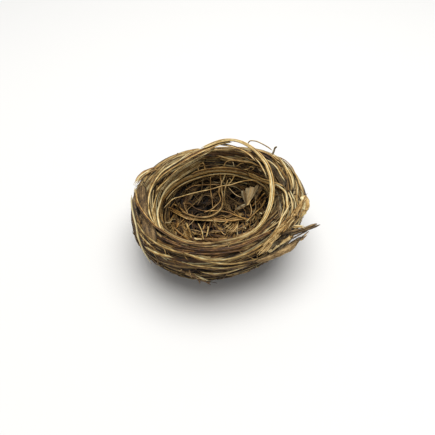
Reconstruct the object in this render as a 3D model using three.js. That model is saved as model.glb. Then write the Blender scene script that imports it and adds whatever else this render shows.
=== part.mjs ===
// An empty cup nest: a round woven wall of dry grass, a loose hoop of broad blades lying on its rim,
// and the blades, bark strips, straws and rootlets that lie over the wall or stand free of it.
// Millimetres, +Z up. The origin is the middle of the flat patch that the nest rests on.
import * as THREE from 'three';

// ---------------------------------------------------------------- driving dimensions
// The wall's section, from the middle of the base, out over the belly and the rim, into the cup.
// Each row is a station from 0 to 1, a radius and a height. Station 0.5 is the crest of the rim.
const wallSection = [
  [0.00, 0.0, 0.0], [0.10, 14.0, 0.0], [0.20, 31.0, 6.0], [0.30, 41.0, 17.0], [0.40, 42.5, 26.5],
  [0.46, 40.0, 32.5], [0.50, 36.5, 35.5], [0.54, 32.5, 34.5], [0.62, 28.5, 28.0], [0.74, 25.0, 17.0],
  [0.86, 15.0, 9.5], [1.00, 0.0, 7.5],
];
const crestHeight = 36;          // height that the lean and the shift are measured over
const ovalStretch = 0.06;        // plan longer one way by this share, and shorter across it
const ovalTurn = 25;             // degrees, the way that the plan is longest
const lobeStretch = 0.012;       // slight three-sided swelling of the plan
const lobeTurn = 20;             // degrees
const rimLean = 0.045;           // the crest is higher by this share on its high side
const rimLeanTurn = 50;          // degrees, the high side
const crestShift = -2.0;         // the crest stands this far forward of the base, along Y
const aroundSteps = 48;          // facets round the wall
const wallStations = [
  0.10, 0.15, 0.20, 0.25, 0.30, 0.35, 0.40, 0.43, 0.46, 0.48, 0.50,
  0.52, 0.54, 0.58, 0.62, 0.68, 0.74, 0.80, 0.86, 0.93,
];
const bladeThickness = 0.35;
const stepLength = 2.8;          // one facet of a blade or stalk
const strawSides = 6;

const radians = THREE.MathUtils.degToRad;

// ---------------------------------------------------------------- shape of the wall
// Piecewise cubic through the given values that never overshoots them.
function monotoneCubic(xs, ys, endSlope) {
  const gaps = xs.slice(1).map((x, i) => x - xs[i]);
  const rises = gaps.map((gap, i) => (ys[i + 1] - ys[i]) / gap);
  const slopes = xs.map((_, i) => {
    if (i === 0 || i === xs.length - 1) return endSlope ?? rises[i === 0 ? 0 : i - 1];
    const before = rises[i - 1];
    const after = rises[i];
    if (before * after <= 0) return 0;
    const w1 = 2 * gaps[i] + gaps[i - 1];
    const w2 = gaps[i] + 2 * gaps[i - 1];
    return (w1 + w2) / (w1 / before + w2 / after);
  });
  return (x) => {
    let i = xs.length - 2;
    while (i > 0 && x < xs[i]) i -= 1;
    const t = (x - xs[i]) / gaps[i];
    const here = (1 + 2 * t) * (1 - t) ** 2 * ys[i] + t * (1 - t) ** 2 * gaps[i] * slopes[i];
    const next = t * t * (3 - 2 * t) * ys[i + 1] + t * t * (t - 1) * gaps[i] * slopes[i + 1];
    return here + next;
  };
}

const stations = wallSection.map((row) => row[0]);
const sectionRadius = monotoneCubic(stations, wallSection.map((row) => row[1]));
const sectionHeight = monotoneCubic(stations, wallSection.map((row) => row[2]), 0);

// A point on the wall's surface: the section swung round the axis, with an oval plan and a leaning rim.
function wallPoint(angle, station) {
  const oval = 1 + ovalStretch * Math.cos(2 * (angle - radians(ovalTurn)))
    + lobeStretch * Math.cos(3 * (angle - radians(lobeTurn)));
  const radius = sectionRadius(station) * oval;
  const flat = sectionHeight(station);
  const height = flat * (1 + rimLean * Math.cos(angle - radians(rimLeanTurn)) * (flat / crestHeight));
  const shift = crestShift * (height / crestHeight);
  return new THREE.Vector3(radius * Math.cos(angle), radius * Math.sin(angle) + shift, height);
}

// The wall's outward normal there: away from the wall, outside and in the cup alike.
function wallNormal(angle, station) {
  const e = 1e-4;
  const along = wallPoint(angle + e, station).sub(wallPoint(angle - e, station));
  const across = wallPoint(angle, station + e).sub(wallPoint(angle, station - e));
  return along.cross(across).normalize();
}

function closedGeometry(points, triangles) {
  const geometry = new THREE.BufferGeometry();
  geometry.setAttribute('position', new THREE.Float32BufferAttribute(points.flatMap((p) => p.toArray()), 3));
  geometry.setIndex(triangles);
  geometry.computeVertexNormals();
  return geometry;
}

// Rings of points joined one to the next, with a fan to a point at each end.
function ringSkin(rings, first, last) {
  const n = rings[0].length;
  const points = [first, ...rings.flat(), last];
  const triangles = [];
  const at = (ring, i) => 1 + ring * n + (i % n);
  for (let i = 0; i < n; i += 1) {
    triangles.push(0, at(0, i + 1), at(0, i));
    triangles.push(points.length - 1, at(rings.length - 1, i), at(rings.length - 1, i + 1));
    for (let ring = 0; ring < rings.length - 1; ring += 1) {
      triangles.push(at(ring, i), at(ring, i + 1), at(ring + 1, i + 1));
      triangles.push(at(ring, i), at(ring + 1, i + 1), at(ring + 1, i));
    }
  }
  return closedGeometry(points, triangles);
}

function wovenWall() {
  const rings = wallStations.map((station) => Array.from({ length: aroundSteps }, (_, i) => (
    wallPoint((i / aroundSteps) * 2 * Math.PI, station))));
  return ringSkin(rings, wallPoint(0, 0), wallPoint(0, 1));
}

// ---------------------------------------------------------------- routes
// A route is a smooth line through a few points, as places { point, normal } at even steps.
function smoothRoute(rows, toPlace) {
  const curve = new THREE.CatmullRomCurve3(rows.map((row) => new THREE.Vector3(...row)), false, 'catmullrom', 0.5);
  const rough = Array.from({ length: 61 }, (_, i) => toPlace(curve.getPoint(i / 60)).point);
  const length = rough.slice(1).reduce((sum, point, i) => sum + point.distanceTo(rough[i]), 0);
  const steps = Math.max(3, Math.round(length / stepLength));
  return Array.from({ length: steps + 1 }, (_, i) => toPlace(curve.getPoint(i / steps)));
}

// Rows of angle in degrees, station, and lift above the wall in millimetres.
const laidOnWall = (rows) => smoothRoute(rows, ({ x, y, z }) => {
  const normal = wallNormal(radians(x), y);
  return { point: wallPoint(radians(x), y).addScaledVector(normal, z), normal };
});

// Rows of angle in degrees, radius and height, for what stands clear of the wall. It faces up.
const roundTheRim = (rows) => smoothRoute(rows, ({ x, y, z }) => {
  const outward = new THREE.Vector3(Math.cos(radians(x)), Math.sin(radians(x)), 0);
  const normal = new THREE.Vector3(0, 0, 1).addScaledVector(outward, 0.15).normalize();
  return { point: outward.clone().multiplyScalar(y).setZ(z), normal };
});

// Rows of x, y and z, for what stands out of the nest or crosses the cup, facing one way.
const inSpace = (rows, facing = [0, -0.5, 1]) => smoothRoute(rows, (point) => (
  { point, normal: new THREE.Vector3(...facing).normalize() }));

// ---------------------------------------------------------------- blades and straws
// A flat blade carried along a route, its face towards the route's normals, narrowing at both ends.
function blade(route, width) {
  const last = route.length - 1;
  const rings = route.map(({ point, normal }, i) => {
    const along = route[Math.min(i + 1, last)].point.clone().sub(route[Math.max(i - 1, 0)].point).normalize();
    const side = along.clone().cross(normal).normalize();
    const face = side.clone().cross(along);
    const taper = 0.35 + 0.65 * Math.min(1, 4 * Math.min(i, last - i) / last);
    const corner = (up, out) => point.clone()
      .addScaledVector(face, up * bladeThickness / 2)
      .addScaledVector(side, out * width * taper / 2);
    return [corner(1, 1), corner(-1, 1), corner(-1, -1), corner(1, -1)];
  });
  return ringSkin(rings, route[0].point, route[last].point);
}

// A round stalk, straw or rootlet along a route.
function stalk(route, radius) {
  const section = new THREE.Shape(Array.from({ length: strawSides }, (_, i) => {
    const turn = (i / strawSides) * 2 * Math.PI;
    return new THREE.Vector2(radius * Math.cos(turn), radius * Math.sin(turn));
  }));
  const path = new THREE.CatmullRomCurve3(route.map(({ point }) => point));
  return new THREE.ExtrudeGeometry(section, { steps: route.length - 1, bevelEnabled: false, extrudePath: path });
}

// A flat scrap of leaf or husk with the given outline, its face along the normal at its middle.
function scrap(outline, thickness, { point, normal }) {
  const shape = new THREE.Shape(outline.map(([x, y]) => new THREE.Vector2(x, y)));
  const geometry = new THREE.ExtrudeGeometry(shape, { depth: thickness, bevelEnabled: false });
  const uphill = new THREE.Vector3(0, 0, 1).addScaledVector(normal, -normal.z).normalize();
  const sideways = uphill.clone().cross(normal);
  const basis = new THREE.Matrix4().makeBasis(sideways, uphill, normal).setPosition(point);
  return geometry.translate(0, 0, -thickness / 2).applyMatrix4(basis);
}

// ---------------------------------------------------------------- materials
const finishes = {
  dryGrass: { color: 0xb08a4c, roughness: 0.55, metalness: 0 },
  paleGrass: { color: 0xcdb27a, roughness: 0.5, metalness: 0 },
  darkGrass: { color: 0x6e4f2c, roughness: 0.65, metalness: 0 },
  barkStrip: { color: 0x7a6a58, roughness: 0.8, metalness: 0 },
  rootlet: { color: 0x8a6030, roughness: 0.6, metalness: 0 },
};

const group = new THREE.Group();

function add(name, finish, geometry) {
  const mesh = new THREE.Mesh(geometry, new THREE.MeshStandardMaterial(finishes[finish]));
  mesh.name = name;
  group.add(mesh);
}

add('woven_wall', 'dryGrass', wovenWall());

// ---------------------------------------------------------------- the loose hoop on the rim
const hoopBlades = {
  hoop_left_blade: ['dryGrass', 2.4, [
    [186, 39.6, 38.4], [197, 39.6, 37.8], [206, 39, 37.3], [216, 38.5, 36.8], [224, 38.3, 36.8], [232, 38.1, 36.8],
    [241, 38.4, 36.8], [248, 38.8, 36.8], [255, 38.5, 36.8], [263, 37.8, 36.9], [271, 37.1, 37.1], [278, 36.6, 37.2],
  ]],
  hoop_right_blade: ['dryGrass', 2.3, [
    [266, 37.4, 37.9], [279, 36, 37.9], [291, 35.4, 37.8], [303, 33.6, 37.8], [313, 31.5, 37.8], [324, 29.6, 38],
    [337, 28, 38.1], [350, 27.1, 38.4], [361, 26.9, 38.8], [375, 27.3, 39.5], [388, 28.1, 40.2], [400, 28.8, 41],
    [415, 29.7, 42], [427, 30.3, 42.5], [437, 29.6, 42.8], [446, 28.2, 42.8],
  ]],
  hoop_back_blade: ['darkGrass', 2.2, [
    [75, 29.6, 42], [85, 27.6, 42], [98, 24.7, 41.5], [120, 22.6, 40.8], [142, 23.7, 39.5], [158, 26.5, 38.5],
    [168, 29, 37.9], [178, 30.9, 37.6],
  ]],
  hoop_pale_blade: ['paleGrass', 1.0, [
    [119, 24.3, 41.9], [141, 24.1, 40.6], [154, 26.2, 39.8], [163, 28.2, 39.3], [177, 30.4, 38.7], [187, 32.1, 38.3],
    [198, 33.9, 38], [205, 35.2, 37.8],
  ]],
  hoop_lower_blade: ['paleGrass', 1.2, [
    [91, 25.4, 40.4], [106, 22.2, 39.7], [122, 21.3, 38.9], [139, 21.6, 38.2], [154, 23.1, 37.5], [169, 24.9, 36.9],
    [179, 28, 36.2], [185, 29.9, 35.6],
  ]],
  hoop_inner_straw: ['dryGrass', 0.8, [[52, 26.1, 40], [39, 26.3, 39.2], [26, 25.6, 38.5], [10, 25, 38]]],
};
for (const [name, [finish, width, rows]] of Object.entries(hoopBlades)) {
  add(name, finish, blade(roundTheRim(rows), width));
}

// ---------------------------------------------------------------- blades and strips laid on the wall
const laidBlades = {
  // the ring of blades round the back of the cup, below the rim
  ring_middle_blade: ['dryGrass', 2.4, [
    [198, 0.599, 1.2], [184, 0.619, 1.2], [171, 0.637, 1.2], [157, 0.647, 1.2], [128, 0.652, 1.2], [95, 0.65, 1.2],
    [65, 0.651, 1.2], [37, 0.643, 1.2], [24, 0.617, 1.2], [12, 0.583, 1.2], [1, 0.547, 1.2],
  ]],
  ring_upper_blade: ['darkGrass', 1.6, [
    [124, 0.636, 1.8], [111, 0.632, 1.8], [95, 0.634, 1.8], [79, 0.634, 1.8], [65, 0.636, 1.8], [51, 0.639, 1.8],
  ]],
  ring_lower_blade: ['paleGrass', 2.0, [
    [172, 0.668, 1.8], [165, 0.673, 1.8], [148, 0.674, 1.8], [115, 0.676, 1.8], [77, 0.672, 1.8], [59, 0.677, 1.8],
    [44, 0.667, 1.8], [32, 0.659, 1.8], [19, 0.648, 1.8],
  ]],
  // the left of the rim, inside
  left_rim_inner_blade: ['dryGrass', 1.5, [
    [212, 0.541, 2.4], [207, 0.557, 2.4], [191, 0.593, 2.4], [176, 0.61, 2.4], [149, 0.621, 2.4], [136, 0.628, 2.4],
  ]],
  left_rim_middle_blade: ['dryGrass', 1.5, [
    [209, 0.532, 1.8], [204, 0.542, 1.8], [190, 0.566, 1.8], [176, 0.578, 1.8], [150, 0.585, 1.8], [123, 0.573, 1.8],
    [108, 0.558, 1.8], [95, 0.534, 1.8],
  ]],
  left_rim_outer_blade: ['paleGrass', 1.0, [
    [204, 0.525, 1.8], [194, 0.535, 1.8], [173, 0.545, 1.8], [150, 0.546, 1.8], [126, 0.544, 1.8], [113, 0.531, 1.8],
  ]],
  left_bark_strip: ['barkStrip', 3.6, [
    [176, 0.504, 0.6], [185, 0.509, 0.6], [195, 0.514, 0.6], [206, 0.512, 0.6], [216, 0.499, 0.6], [223, 0.481, 0.6],
  ]],
  left_edge_blade: ['paleGrass', 1.2, [
    [182, 0.471, 1.8], [192, 0.475, 1.8], [202, 0.474, 1.8], [210, 0.466, 1.8], [215, 0.444, 1.8], [220, 0.42, 1.8],
    [224, 0.384, 2.2], [224, 0.337, 3.2],
  ]],
  left_top_blade: ['dryGrass', 1.1, [[175, 0.484, 1.8], [186, 0.489, 1.8], [194, 0.497, 1.8], [200, 0.502, 1.8]]],
  // the back of the rim
  back_upper_blade: ['dryGrass', 1.5, [
    [128, 0.529, 1.2], [112, 0.537, 1.2], [97, 0.545, 1.2], [82, 0.548, 1.2], [67, 0.55, 1.2], [56, 0.556, 1.2],
  ]],
  back_lower_blade: ['paleGrass', 1.2, [
    [91, 0.568, 1.2], [78, 0.585, 1.2], [65, 0.588, 1.2], [54, 0.583, 1.2], [45, 0.587, 1.2],
  ]],
  // the right of the rim
  right_dark_strip: ['barkStrip', 2.8, [
    [44, 0.54, 0.6], [36, 0.546, 0.6], [26, 0.552, 0.6], [16, 0.554, 0.6], [5, 0.545, 0.6],
  ]],
  right_thin_blade: ['paleGrass', 0.8, [
    [40, 0.544, 1.8], [33, 0.542, 1.8], [24, 0.541, 1.8], [15, 0.542, 1.8], [4, 0.531, 1.8],
  ]],
  right_tan_strip: ['dryGrass', 2.0, [
    [34, 0.5, 0.6], [27, 0.506, 0.6], [19, 0.511, 0.6], [10, 0.512, 0.6], [-2, 0.513, 0.6],
  ]],
  right_edge_blade: ['dryGrass', 1.2, [
    [36, 0.497, 1.2], [30, 0.489, 1.2], [22, 0.485, 1.2], [14, 0.489, 1.2], [4, 0.483, 1.2], [-2, 0.459, 1.2],
  ]],
  right_pale_blade: ['paleGrass', 0.9, [[7, 0.498, 1.8], [-1, 0.497, 1.8], [-11, 0.492, 1.8], [-18, 0.481, 1.8]]],
  right_inner_blade: ['dryGrass', 1.5, [
    [15, 0.592, 1.8], [3, 0.557, 1.8], [-5, 0.535, 1.8], [-16, 0.518, 1.8], [-24, 0.501, 1.8], [-33, 0.495, 1.8],
  ]],
  right_grey_strip: ['barkStrip', 2.4, [[8, 0.608, 0.6], [-11, 0.571, 0.6], [-27, 0.52, 0.6], [-34, 0.493, 0.6]]],
  right_slant_straw: ['paleGrass', 0.6, [
    [-19, 0.501, 2.4], [-27, 0.499, 2.4], [-36, 0.496, 2.4], [-42, 0.49, 2.4], [-46, 0.487, 2.4],
  ]],
  torn_strip_upper: ['dryGrass', 3.0, [
    [-11, 0.471, 3.1], [-18, 0.479, 3.1], [-26, 0.484, 3.1], [-33, 0.486, 3.1], [-40, 0.483, 3.1], [-45, 0.475, 3.1],
    [-51, 0.467, 3.1], [-57, 0.454, 3.1], [-64, 0.439, 3.1],
  ]],
  torn_strip_lower: ['dryGrass', 1.6, [
    [-16, 0.455, 2.4], [-22, 0.472, 2.4], [-29, 0.478, 2.4], [-36, 0.478, 2.4], [-42, 0.472, 2.4],
  ]],
  tail_sheath_upper: ['barkStrip', 2.6, [[-60, 0.434, 1.2], [-51, 0.433, 1.0], [-43, 0.43, 0.9], [-38, 0.428, 0.9]]],
  // the front, below the hoop
  front_bark_strip: ['darkGrass', 3.0, [
    [239, 0.48, 0.6], [249, 0.485, 0.6], [259, 0.487, 0.6], [269, 0.486, 0.6], [279, 0.484, 0.6], [290, 0.481, 0.6],
  ]],
  front_upper_blade: ['dryGrass', 1.8, [
    [229, 0.496, 1.2], [246, 0.495, 1.2], [265, 0.493, 1.2], [286, 0.488, 1.2], [304, 0.49, 1.2], [313, 0.485, 1.2],
  ]],
  front_long_blade: ['paleGrass', 1.2, [
    [251, 0.476, 2.4], [259, 0.467, 2.4], [267, 0.461, 2.4], [275, 0.457, 2.4], [288, 0.461, 2.4], [296, 0.465, 2.4],
    [307, 0.473, 2.4],
  ]],
  front_low_blade: ['paleGrass', 1.2, [
    [249, 0.477, 1.8], [257, 0.465, 1.8], [266, 0.449, 1.8], [278, 0.433, 1.8], [291, 0.424, 1.8], [299, 0.417, 1.8],
  ]],
  front_left_blade: ['dryGrass', 1.5, [
    [206, 0.472, 1.2], [215, 0.471, 1.2], [232, 0.473, 1.2], [241, 0.474, 1.2], [249, 0.473, 1.2],
  ]],
  front_left_short_blade: ['paleGrass', 0.8, [[216, 0.464, 2.4], [222, 0.458, 2.4], [232, 0.459, 2.4]]],
  front_left_low_blade: ['dryGrass', 1.3, [[222, 0.428, 1.2], [229, 0.433, 1.2], [238, 0.444, 1.2], [244, 0.447, 1.2]]],
  belly_upper_blade: ['dryGrass', 1.6, [
    [250, 0.436, 1.2], [257, 0.43, 1.2], [266, 0.422, 1.2], [275, 0.415, 1.2], [284, 0.408, 1.2], [293, 0.403, 1.2],
  ]],
  belly_lower_blade: ['dryGrass', 1.6, [
    [260, 0.402, 1.2], [268, 0.384, 1.2], [276, 0.387, 1.2], [284, 0.389, 1.2], [291, 0.387, 1.2],
  ]],
  belly_tuft_blade: ['paleGrass', 2.2, [[254, 0.404, 2.2], [258, 0.38, 2.2], [262, 0.357, 2.4], [266, 0.33, 2.8]]],
};
for (const [name, [finish, width, rows]] of Object.entries(laidBlades)) {
  add(name, finish, blade(laidOnWall(rows), width));
}

// ---------------------------------------------------------------- the tail that sticks out on the right
add('tail_stem_upper', 'barkStrip', stalk(inSpace([
  [28.6, -28.6, 33.8], [31.3, -26, 33], [34, -24.4, 32], [36.9, -22.8, 30.9], [41.6, -21.4, 30.5], [45, -20.4, 30.6],
  [47.9, -19.5, 30.8],
]), 0.6));
add('tail_stem_lower', 'barkStrip', stalk(inSpace([
  [35.9, -25.6, 29.5], [38.8, -24, 29.1], [43, -22.3, 29.1], [46.3, -21.2, 29.3], [49, -20.4, 29.6],
]), 0.45));
add('tail_straw', 'paleGrass', stalk(inSpace([
  [31.9, -29.2, 29.2], [35.5, -26.6, 27.9], [39.9, -23.2, 27.9], [43, -21, 28],
]), 0.3));
add('tail_stub', 'dryGrass', stalk(inSpace([[35, -23.4, 33.4], [38, -23.2, 32.7], [41.3, -23.3, 32.6]]), 0.5));
add('tail_sheath_lower', 'barkStrip', blade(inSpace([
  [17, -39, 27.7], [21.6, -37.2, 26.9], [26, -34.9, 26], [30, -33.3, 25.5], [33.9, -31.4, 25.5], [37.4, -27.9, 25.5],
  [40, -24.7, 25.6], [42.6, -21.9, 25.8],
], [0.35, -0.65, 0.7]), 2.2));
add('tail_flake', 'paleGrass', blade(inSpace([
  [39.4, -26.7, 27.3], [41.2, -24.3, 27.3], [43.4, -21.9, 27.1],
], [0.2, -0.5, 0.8]), 1.4));

// ---------------------------------------------------------------- loose bits at the rim
add('husk_scrap', 'dryGrass', scrap(
  [[-2.1, -2.6], [0.8, -3.4], [2.4, -1.0], [1.6, 2.2], [-0.6, 3.6], [-2.3, 1.4]], 1.2,
  { point: new THREE.Vector3(44.4, -7.6, 32), normal: new THREE.Vector3(0.75, -0.3, 0.6).normalize() },
));
add('curling_tendril', 'rootlet', stalk(inSpace([
  [16.4, 29.6, 39.6], [17.4, 29.6, 41.5], [20.5, 28.9, 42], [23.6, 27.6, 41.2], [26.7, 26, 40.2], [28.8, 24.9, 39],
]), 0.3));
add('curled_stub', 'darkGrass', stalk(inSpace([[30.2, 26.2, 38.2], [30.6, 26.8, 39.2], [31.6, 27, 39.8]]), 0.55));
add('left_flake', 'dryGrass', blade(inSpace([
  [-33.1, 12.4, 37.6], [-36.8, 12.1, 36.8], [-40.4, 9.3, 35.6], [-42.6, 4.4, 34.8],
], [-0.35, 0.1, 0.9]), 1.6));

// ---------------------------------------------------------------- in the cup
add('crossing_straw', 'paleGrass', stalk(inSpace([
  [-26.9, -3.3, 24.4], [-22.6, 2.5, 25], [-19, 4.3, 25], [-14.1, 7.5, 24], [-8.9, 9.4, 24], [-3.7, 10.9, 24],
  [2.7, 13.6, 24], [6.9, 14.4, 24], [12.3, 15.7, 25], [17.4, 15, 27], [21.3, 13.4, 28],
]), 0.3));
add('looping_rootlet', 'rootlet', stalk(inSpace([
  [2.7, 17.2, 25], [2.1, 14.2, 22.5], [3.1, 10.9, 19], [2.8, 7.4, 15.6], [0.5, 5.1, 13], [-3.8, 3.3, 11.4],
  [-9.5, 2.8, 11.2], [-14.5, 3.6, 12.2], [-18.6, 4.2, 14.2],
]), 0.5));
add('thin_rootlet', 'rootlet', stalk(inSpace([
  [5.8, 15, 27.2], [4.3, 11.5, 24], [4, 9.7, 20.5], [4.3, 7.9, 17], [5.2, 7.8, 13.5], [5.6, 8.4, 11.4],
]), 0.3));
add('floor_straw_left', 'dryGrass', stalk(inSpace([
  [-10.1, -0.6, 10.2], [-7.9, -6.4, 10.4], [-7.3, -11, 11.6], [-6.8, -15.5, 14.6],
]), 0.35));
add('floor_straw_right', 'dryGrass', stalk(inSpace([
  [-4.8, -2.2, 9.9], [-4.7, -4.8, 10.1], [-5.1, -9, 11.2], [-5.5, -13.4, 14],
]), 0.35));
const leafNormal = wallNormal(radians(44), 0.735);
add('leaf_fragment', 'barkStrip', scrap(
  [[-4.0, 0.5], [-1.6, -3.6], [1.6, -3.8], [2.8, 1.2], [2.3, 4.6]], 0.3,
  { point: wallPoint(radians(44), 0.735).addScaledVector(leafNormal, 1.7), normal: leafNormal },
));

export default group;
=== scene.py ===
from functools import partial

import bpy
import numpy as np
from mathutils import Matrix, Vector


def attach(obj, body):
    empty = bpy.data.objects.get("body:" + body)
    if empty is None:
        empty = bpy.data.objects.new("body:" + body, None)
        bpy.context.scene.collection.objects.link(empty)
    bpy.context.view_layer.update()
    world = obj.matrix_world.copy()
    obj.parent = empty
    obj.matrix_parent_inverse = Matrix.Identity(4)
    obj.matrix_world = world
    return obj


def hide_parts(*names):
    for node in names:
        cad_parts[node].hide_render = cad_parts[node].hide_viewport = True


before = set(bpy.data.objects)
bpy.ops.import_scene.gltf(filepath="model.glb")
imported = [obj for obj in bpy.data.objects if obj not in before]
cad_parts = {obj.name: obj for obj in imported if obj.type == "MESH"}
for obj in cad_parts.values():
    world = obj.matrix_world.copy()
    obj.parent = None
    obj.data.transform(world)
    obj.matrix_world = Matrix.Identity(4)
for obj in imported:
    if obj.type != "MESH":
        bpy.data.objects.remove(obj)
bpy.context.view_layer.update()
mm = 0.001

# camera, floor and lights
view = {"place": (0.0003, -0.1654, 0.1915), "pitch": 47.0, "lens": 38.13, "nearClip": 0.005}
stage = {
    "floorSize": 6.0, "floorDrop": 0.0001, "floorColour": (0.75, 0.75, 0.745), "floorRoughness": 0.9,
    "skyColour": (1.0, 1.0, 1.0), "skyStrength": 0.41,
}
lamps = {  # name: place, aimed at, size, watts, colour
    "overheadSoftbox": ((0.06, 0.07, 0.92), (0.0, 0.0, 0.02), 1.0, 10.8, (1.0, 0.99, 0.97)),
}


def makeCamera(scene):
    cameraData = bpy.data.cameras.new("camera")
    cameraData.lens = view["lens"]
    cameraData.clip_start = view["nearClip"]
    camera = bpy.data.objects.new("camera", cameraData)
    camera.location = view["place"]
    camera.rotation_euler = (np.radians(90 - view["pitch"]), 0, 0)
    scene.collection.objects.link(camera)
    scene.camera = camera


def makeFloor(scene):
    half, height = stage["floorSize"] / 2, -stage["floorDrop"]
    corners = [(-half, -half, height), (half, -half, height), (half, half, height), (-half, half, height)]
    mesh = bpy.data.meshes.new("floor")
    mesh.from_pydata(corners, [], [(0, 1, 2, 3)])
    material = bpy.data.materials.new("floorPaper")
    material.use_nodes = True
    shader = material.node_tree.nodes["Principled BSDF"]
    shader.inputs["Base Color"].default_value = (*stage["floorColour"], 1)
    shader.inputs["Roughness"].default_value = stage["floorRoughness"]
    mesh.materials.append(material)
    floor = bpy.data.objects.new("floor", mesh)
    scene.collection.objects.link(floor)


def makeLight(scene):
    world = bpy.data.worlds.new("studio")
    world.use_nodes = True
    background = world.node_tree.nodes["Background"]
    background.inputs["Color"].default_value = (*stage["skyColour"], 1)
    background.inputs["Strength"].default_value = stage["skyStrength"]
    scene.world = world
    for name, (place, target, size, watts, colour) in lamps.items():
        lampData = bpy.data.lights.new(name, "AREA")
        lampData.shape = "DISK"
        lampData.size = size
        lampData.energy = watts
        lampData.color = colour
        lamp = bpy.data.objects.new(name, lampData)
        lamp.location = place
        direction = Vector(target) - Vector(place)
        lamp.rotation_euler = direction.to_track_quat("-Z", "Y").to_euler()
        scene.collection.objects.link(lamp)


bpy.context.scene.view_settings.view_transform = "Standard"
makeCamera(bpy.context.scene)
makeFloor(bpy.context.scene)
makeLight(bpy.context.scene)
print("stage and camera ready")

# The wall's shape in millimetres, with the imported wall's section and plan: stations run from the middle of
# the base (0), over the belly, the rim's crest (0.5) and the cup's side to the middle of the floor (1).
wall = {
    "section": [  # station, radius, height
        (0.00, 0.0, 0.0), (0.10, 14.0, 0.0), (0.20, 31.0, 6.0), (0.30, 41.0, 17.0), (0.40, 42.5, 26.5),
        (0.46, 40.0, 32.5), (0.50, 36.5, 35.5), (0.54, 32.5, 34.5), (0.62, 28.5, 28.0), (0.74, 25.0, 17.0),
        (0.86, 15.0, 9.5), (1.00, 0.0, 7.5)],
    "crestHeight": 36.0, "ovalStretch": 0.06, "ovalTurn": 25.0, "lobeStretch": 0.012, "lobeTurn": 20.0,
    "rimLean": 0.045, "rimLeanTurn": 50.0, "crestShift": -2.0,
}
tiny = 1e-9  # keeps a division away from zero
slopeStep = 1e-4  # radians and stations to each side where a slope is measured
poleMargin = 0.002  # stations this near the base's or the floor's middle take the direction beside them
tablePoints = 1601  # rows in the table of distances along the section


# piecewise cubic through the values that never overshoots: each inner slope is the weighted harmonic mean of
# its two neighbours' slopes, or zero at a peak
def monotoneCubic(x, y, endSlope=None):
    gap = np.diff(x)
    rise = np.diff(y) / gap
    slope = np.zeros(len(x))
    slope[0], slope[-1] = (rise[0], rise[-1]) if endSlope is None else (endSlope, endSlope)
    before, after = rise[:-1], rise[1:]
    weight1, weight2 = 2 * gap[1:] + gap[:-1], gap[1:] + 2 * gap[:-1]
    rises = before * after > 0
    slope[1:-1][rises] = ((weight1 + weight2)[rises]
                          / (weight1[rises] / before[rises] + weight2[rises] / after[rises]))

    def at(value):
        i = np.clip(np.searchsorted(x, value, side="right") - 1, 0, len(x) - 2)
        t = (value - x[i]) / gap[i]
        here = (1 + 2 * t) * (1 - t) ** 2 * y[i] + t * (1 - t) ** 2 * gap[i] * slope[i]
        there = t * t * (3 - 2 * t) * y[i + 1] + t * t * (t - 1) * gap[i] * slope[i + 1]
        return here + there
    return at


section = np.array(wall["section"])
sectionRadius = monotoneCubic(section[:, 0], section[:, 1])
sectionHeight = monotoneCubic(section[:, 0], section[:, 2], 0.0)


# the section swung round the axis; the plan is oval and slightly three-sided, and the rim leans and stands
# forward
def wallPoint(angle, station):
    oval = (1 + wall["ovalStretch"] * np.cos(2 * (angle - np.radians(wall["ovalTurn"])))
            + wall["lobeStretch"] * np.cos(3 * (angle - np.radians(wall["lobeTurn"]))))
    radius = sectionRadius(station) * oval
    flat = sectionHeight(station)
    lean = wall["rimLean"] * np.cos(angle - np.radians(wall["rimLeanTurn"])) * flat / wall["crestHeight"]
    height = flat * (1 + lean)
    shift = wall["crestShift"] * height / wall["crestHeight"]
    return np.stack([radius * np.cos(angle), radius * np.sin(angle) + shift, height], -1)


# vectors over their own lengths
def unit(vectors):
    return vectors / np.maximum(np.linalg.norm(vectors, axis=-1, keepdims=True), tiny)


# cross product of the slopes round the wall and along the section
def wallNormal(angle, station):
    station = np.clip(station, poleMargin, 1 - poleMargin)
    around = wallPoint(angle + slopeStep, station) - wallPoint(angle - slopeStep, station)
    along = wallPoint(angle, station + slopeStep) - wallPoint(angle, station - slopeStep)
    return unit(np.cross(around, along))


# a point above the wall's face, and the face's direction there
def overWall(angle, station, lift):
    normal = wallNormal(angle, station)
    return wallPoint(angle, station) + normal * np.asarray(lift)[..., None], normal


stationTable = np.linspace(0, 1, tablePoints)
arcSteps = np.hypot(np.diff(sectionRadius(stationTable)), np.diff(sectionHeight(stationTable)))
arcTable = np.concatenate([[0], np.cumsum(arcSteps)])
fullArc = arcTable[-1]


# stations and distances along the section, in millimetres, read from one table both ways
def stationAtArc(arc):
    return np.interp(arc, arcTable, stationTable)


def arcAtStation(station):
    return np.interp(station, stationTable, arcTable)


# how a random line's waves shrink as they get finer, and their height
waveForm = {"falloff": 0.8, "height": 0.8}


# sum of a few cosine waves with random phases, the finer the smaller, about one unit high
def wander(rng, rows, points, waves):
    t = np.linspace(0, 1, points)
    number = np.arange(1, waves + 1)[:, None, None]
    phase = rng.uniform(0, 2 * np.pi, (waves, rows, 1))
    size = rng.normal(0, 1, (waves, rows, 1)) / number ** waveForm["falloff"]
    return (size * np.cos(np.pi * number * t + phase)).sum(0) * waveForm["height"]


# uniform Catmull-Rom curve through the rows, at shares (0 to 1) of the way along
def smoothAt(rows, share):
    rows = np.array(rows, float)
    ends = np.vstack([2 * rows[0] - rows[1], rows, 2 * rows[-1] - rows[-2]])
    place = share * (len(rows) - 1)
    i = np.minimum(place.astype(int), len(rows) - 2)
    t = (place - i)[..., None]
    a, b, c, d = ends[i], ends[i + 1], ends[i + 2], ends[i + 3]
    return b + 0.5 * t * (c - a + t * (2 * a - 5 * b + 4 * c - d + t * (3 * (b - c) + d - a)))


def smoothLine(rows, points):
    return smoothAt(rows, np.linspace(0, 1, points))


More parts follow.
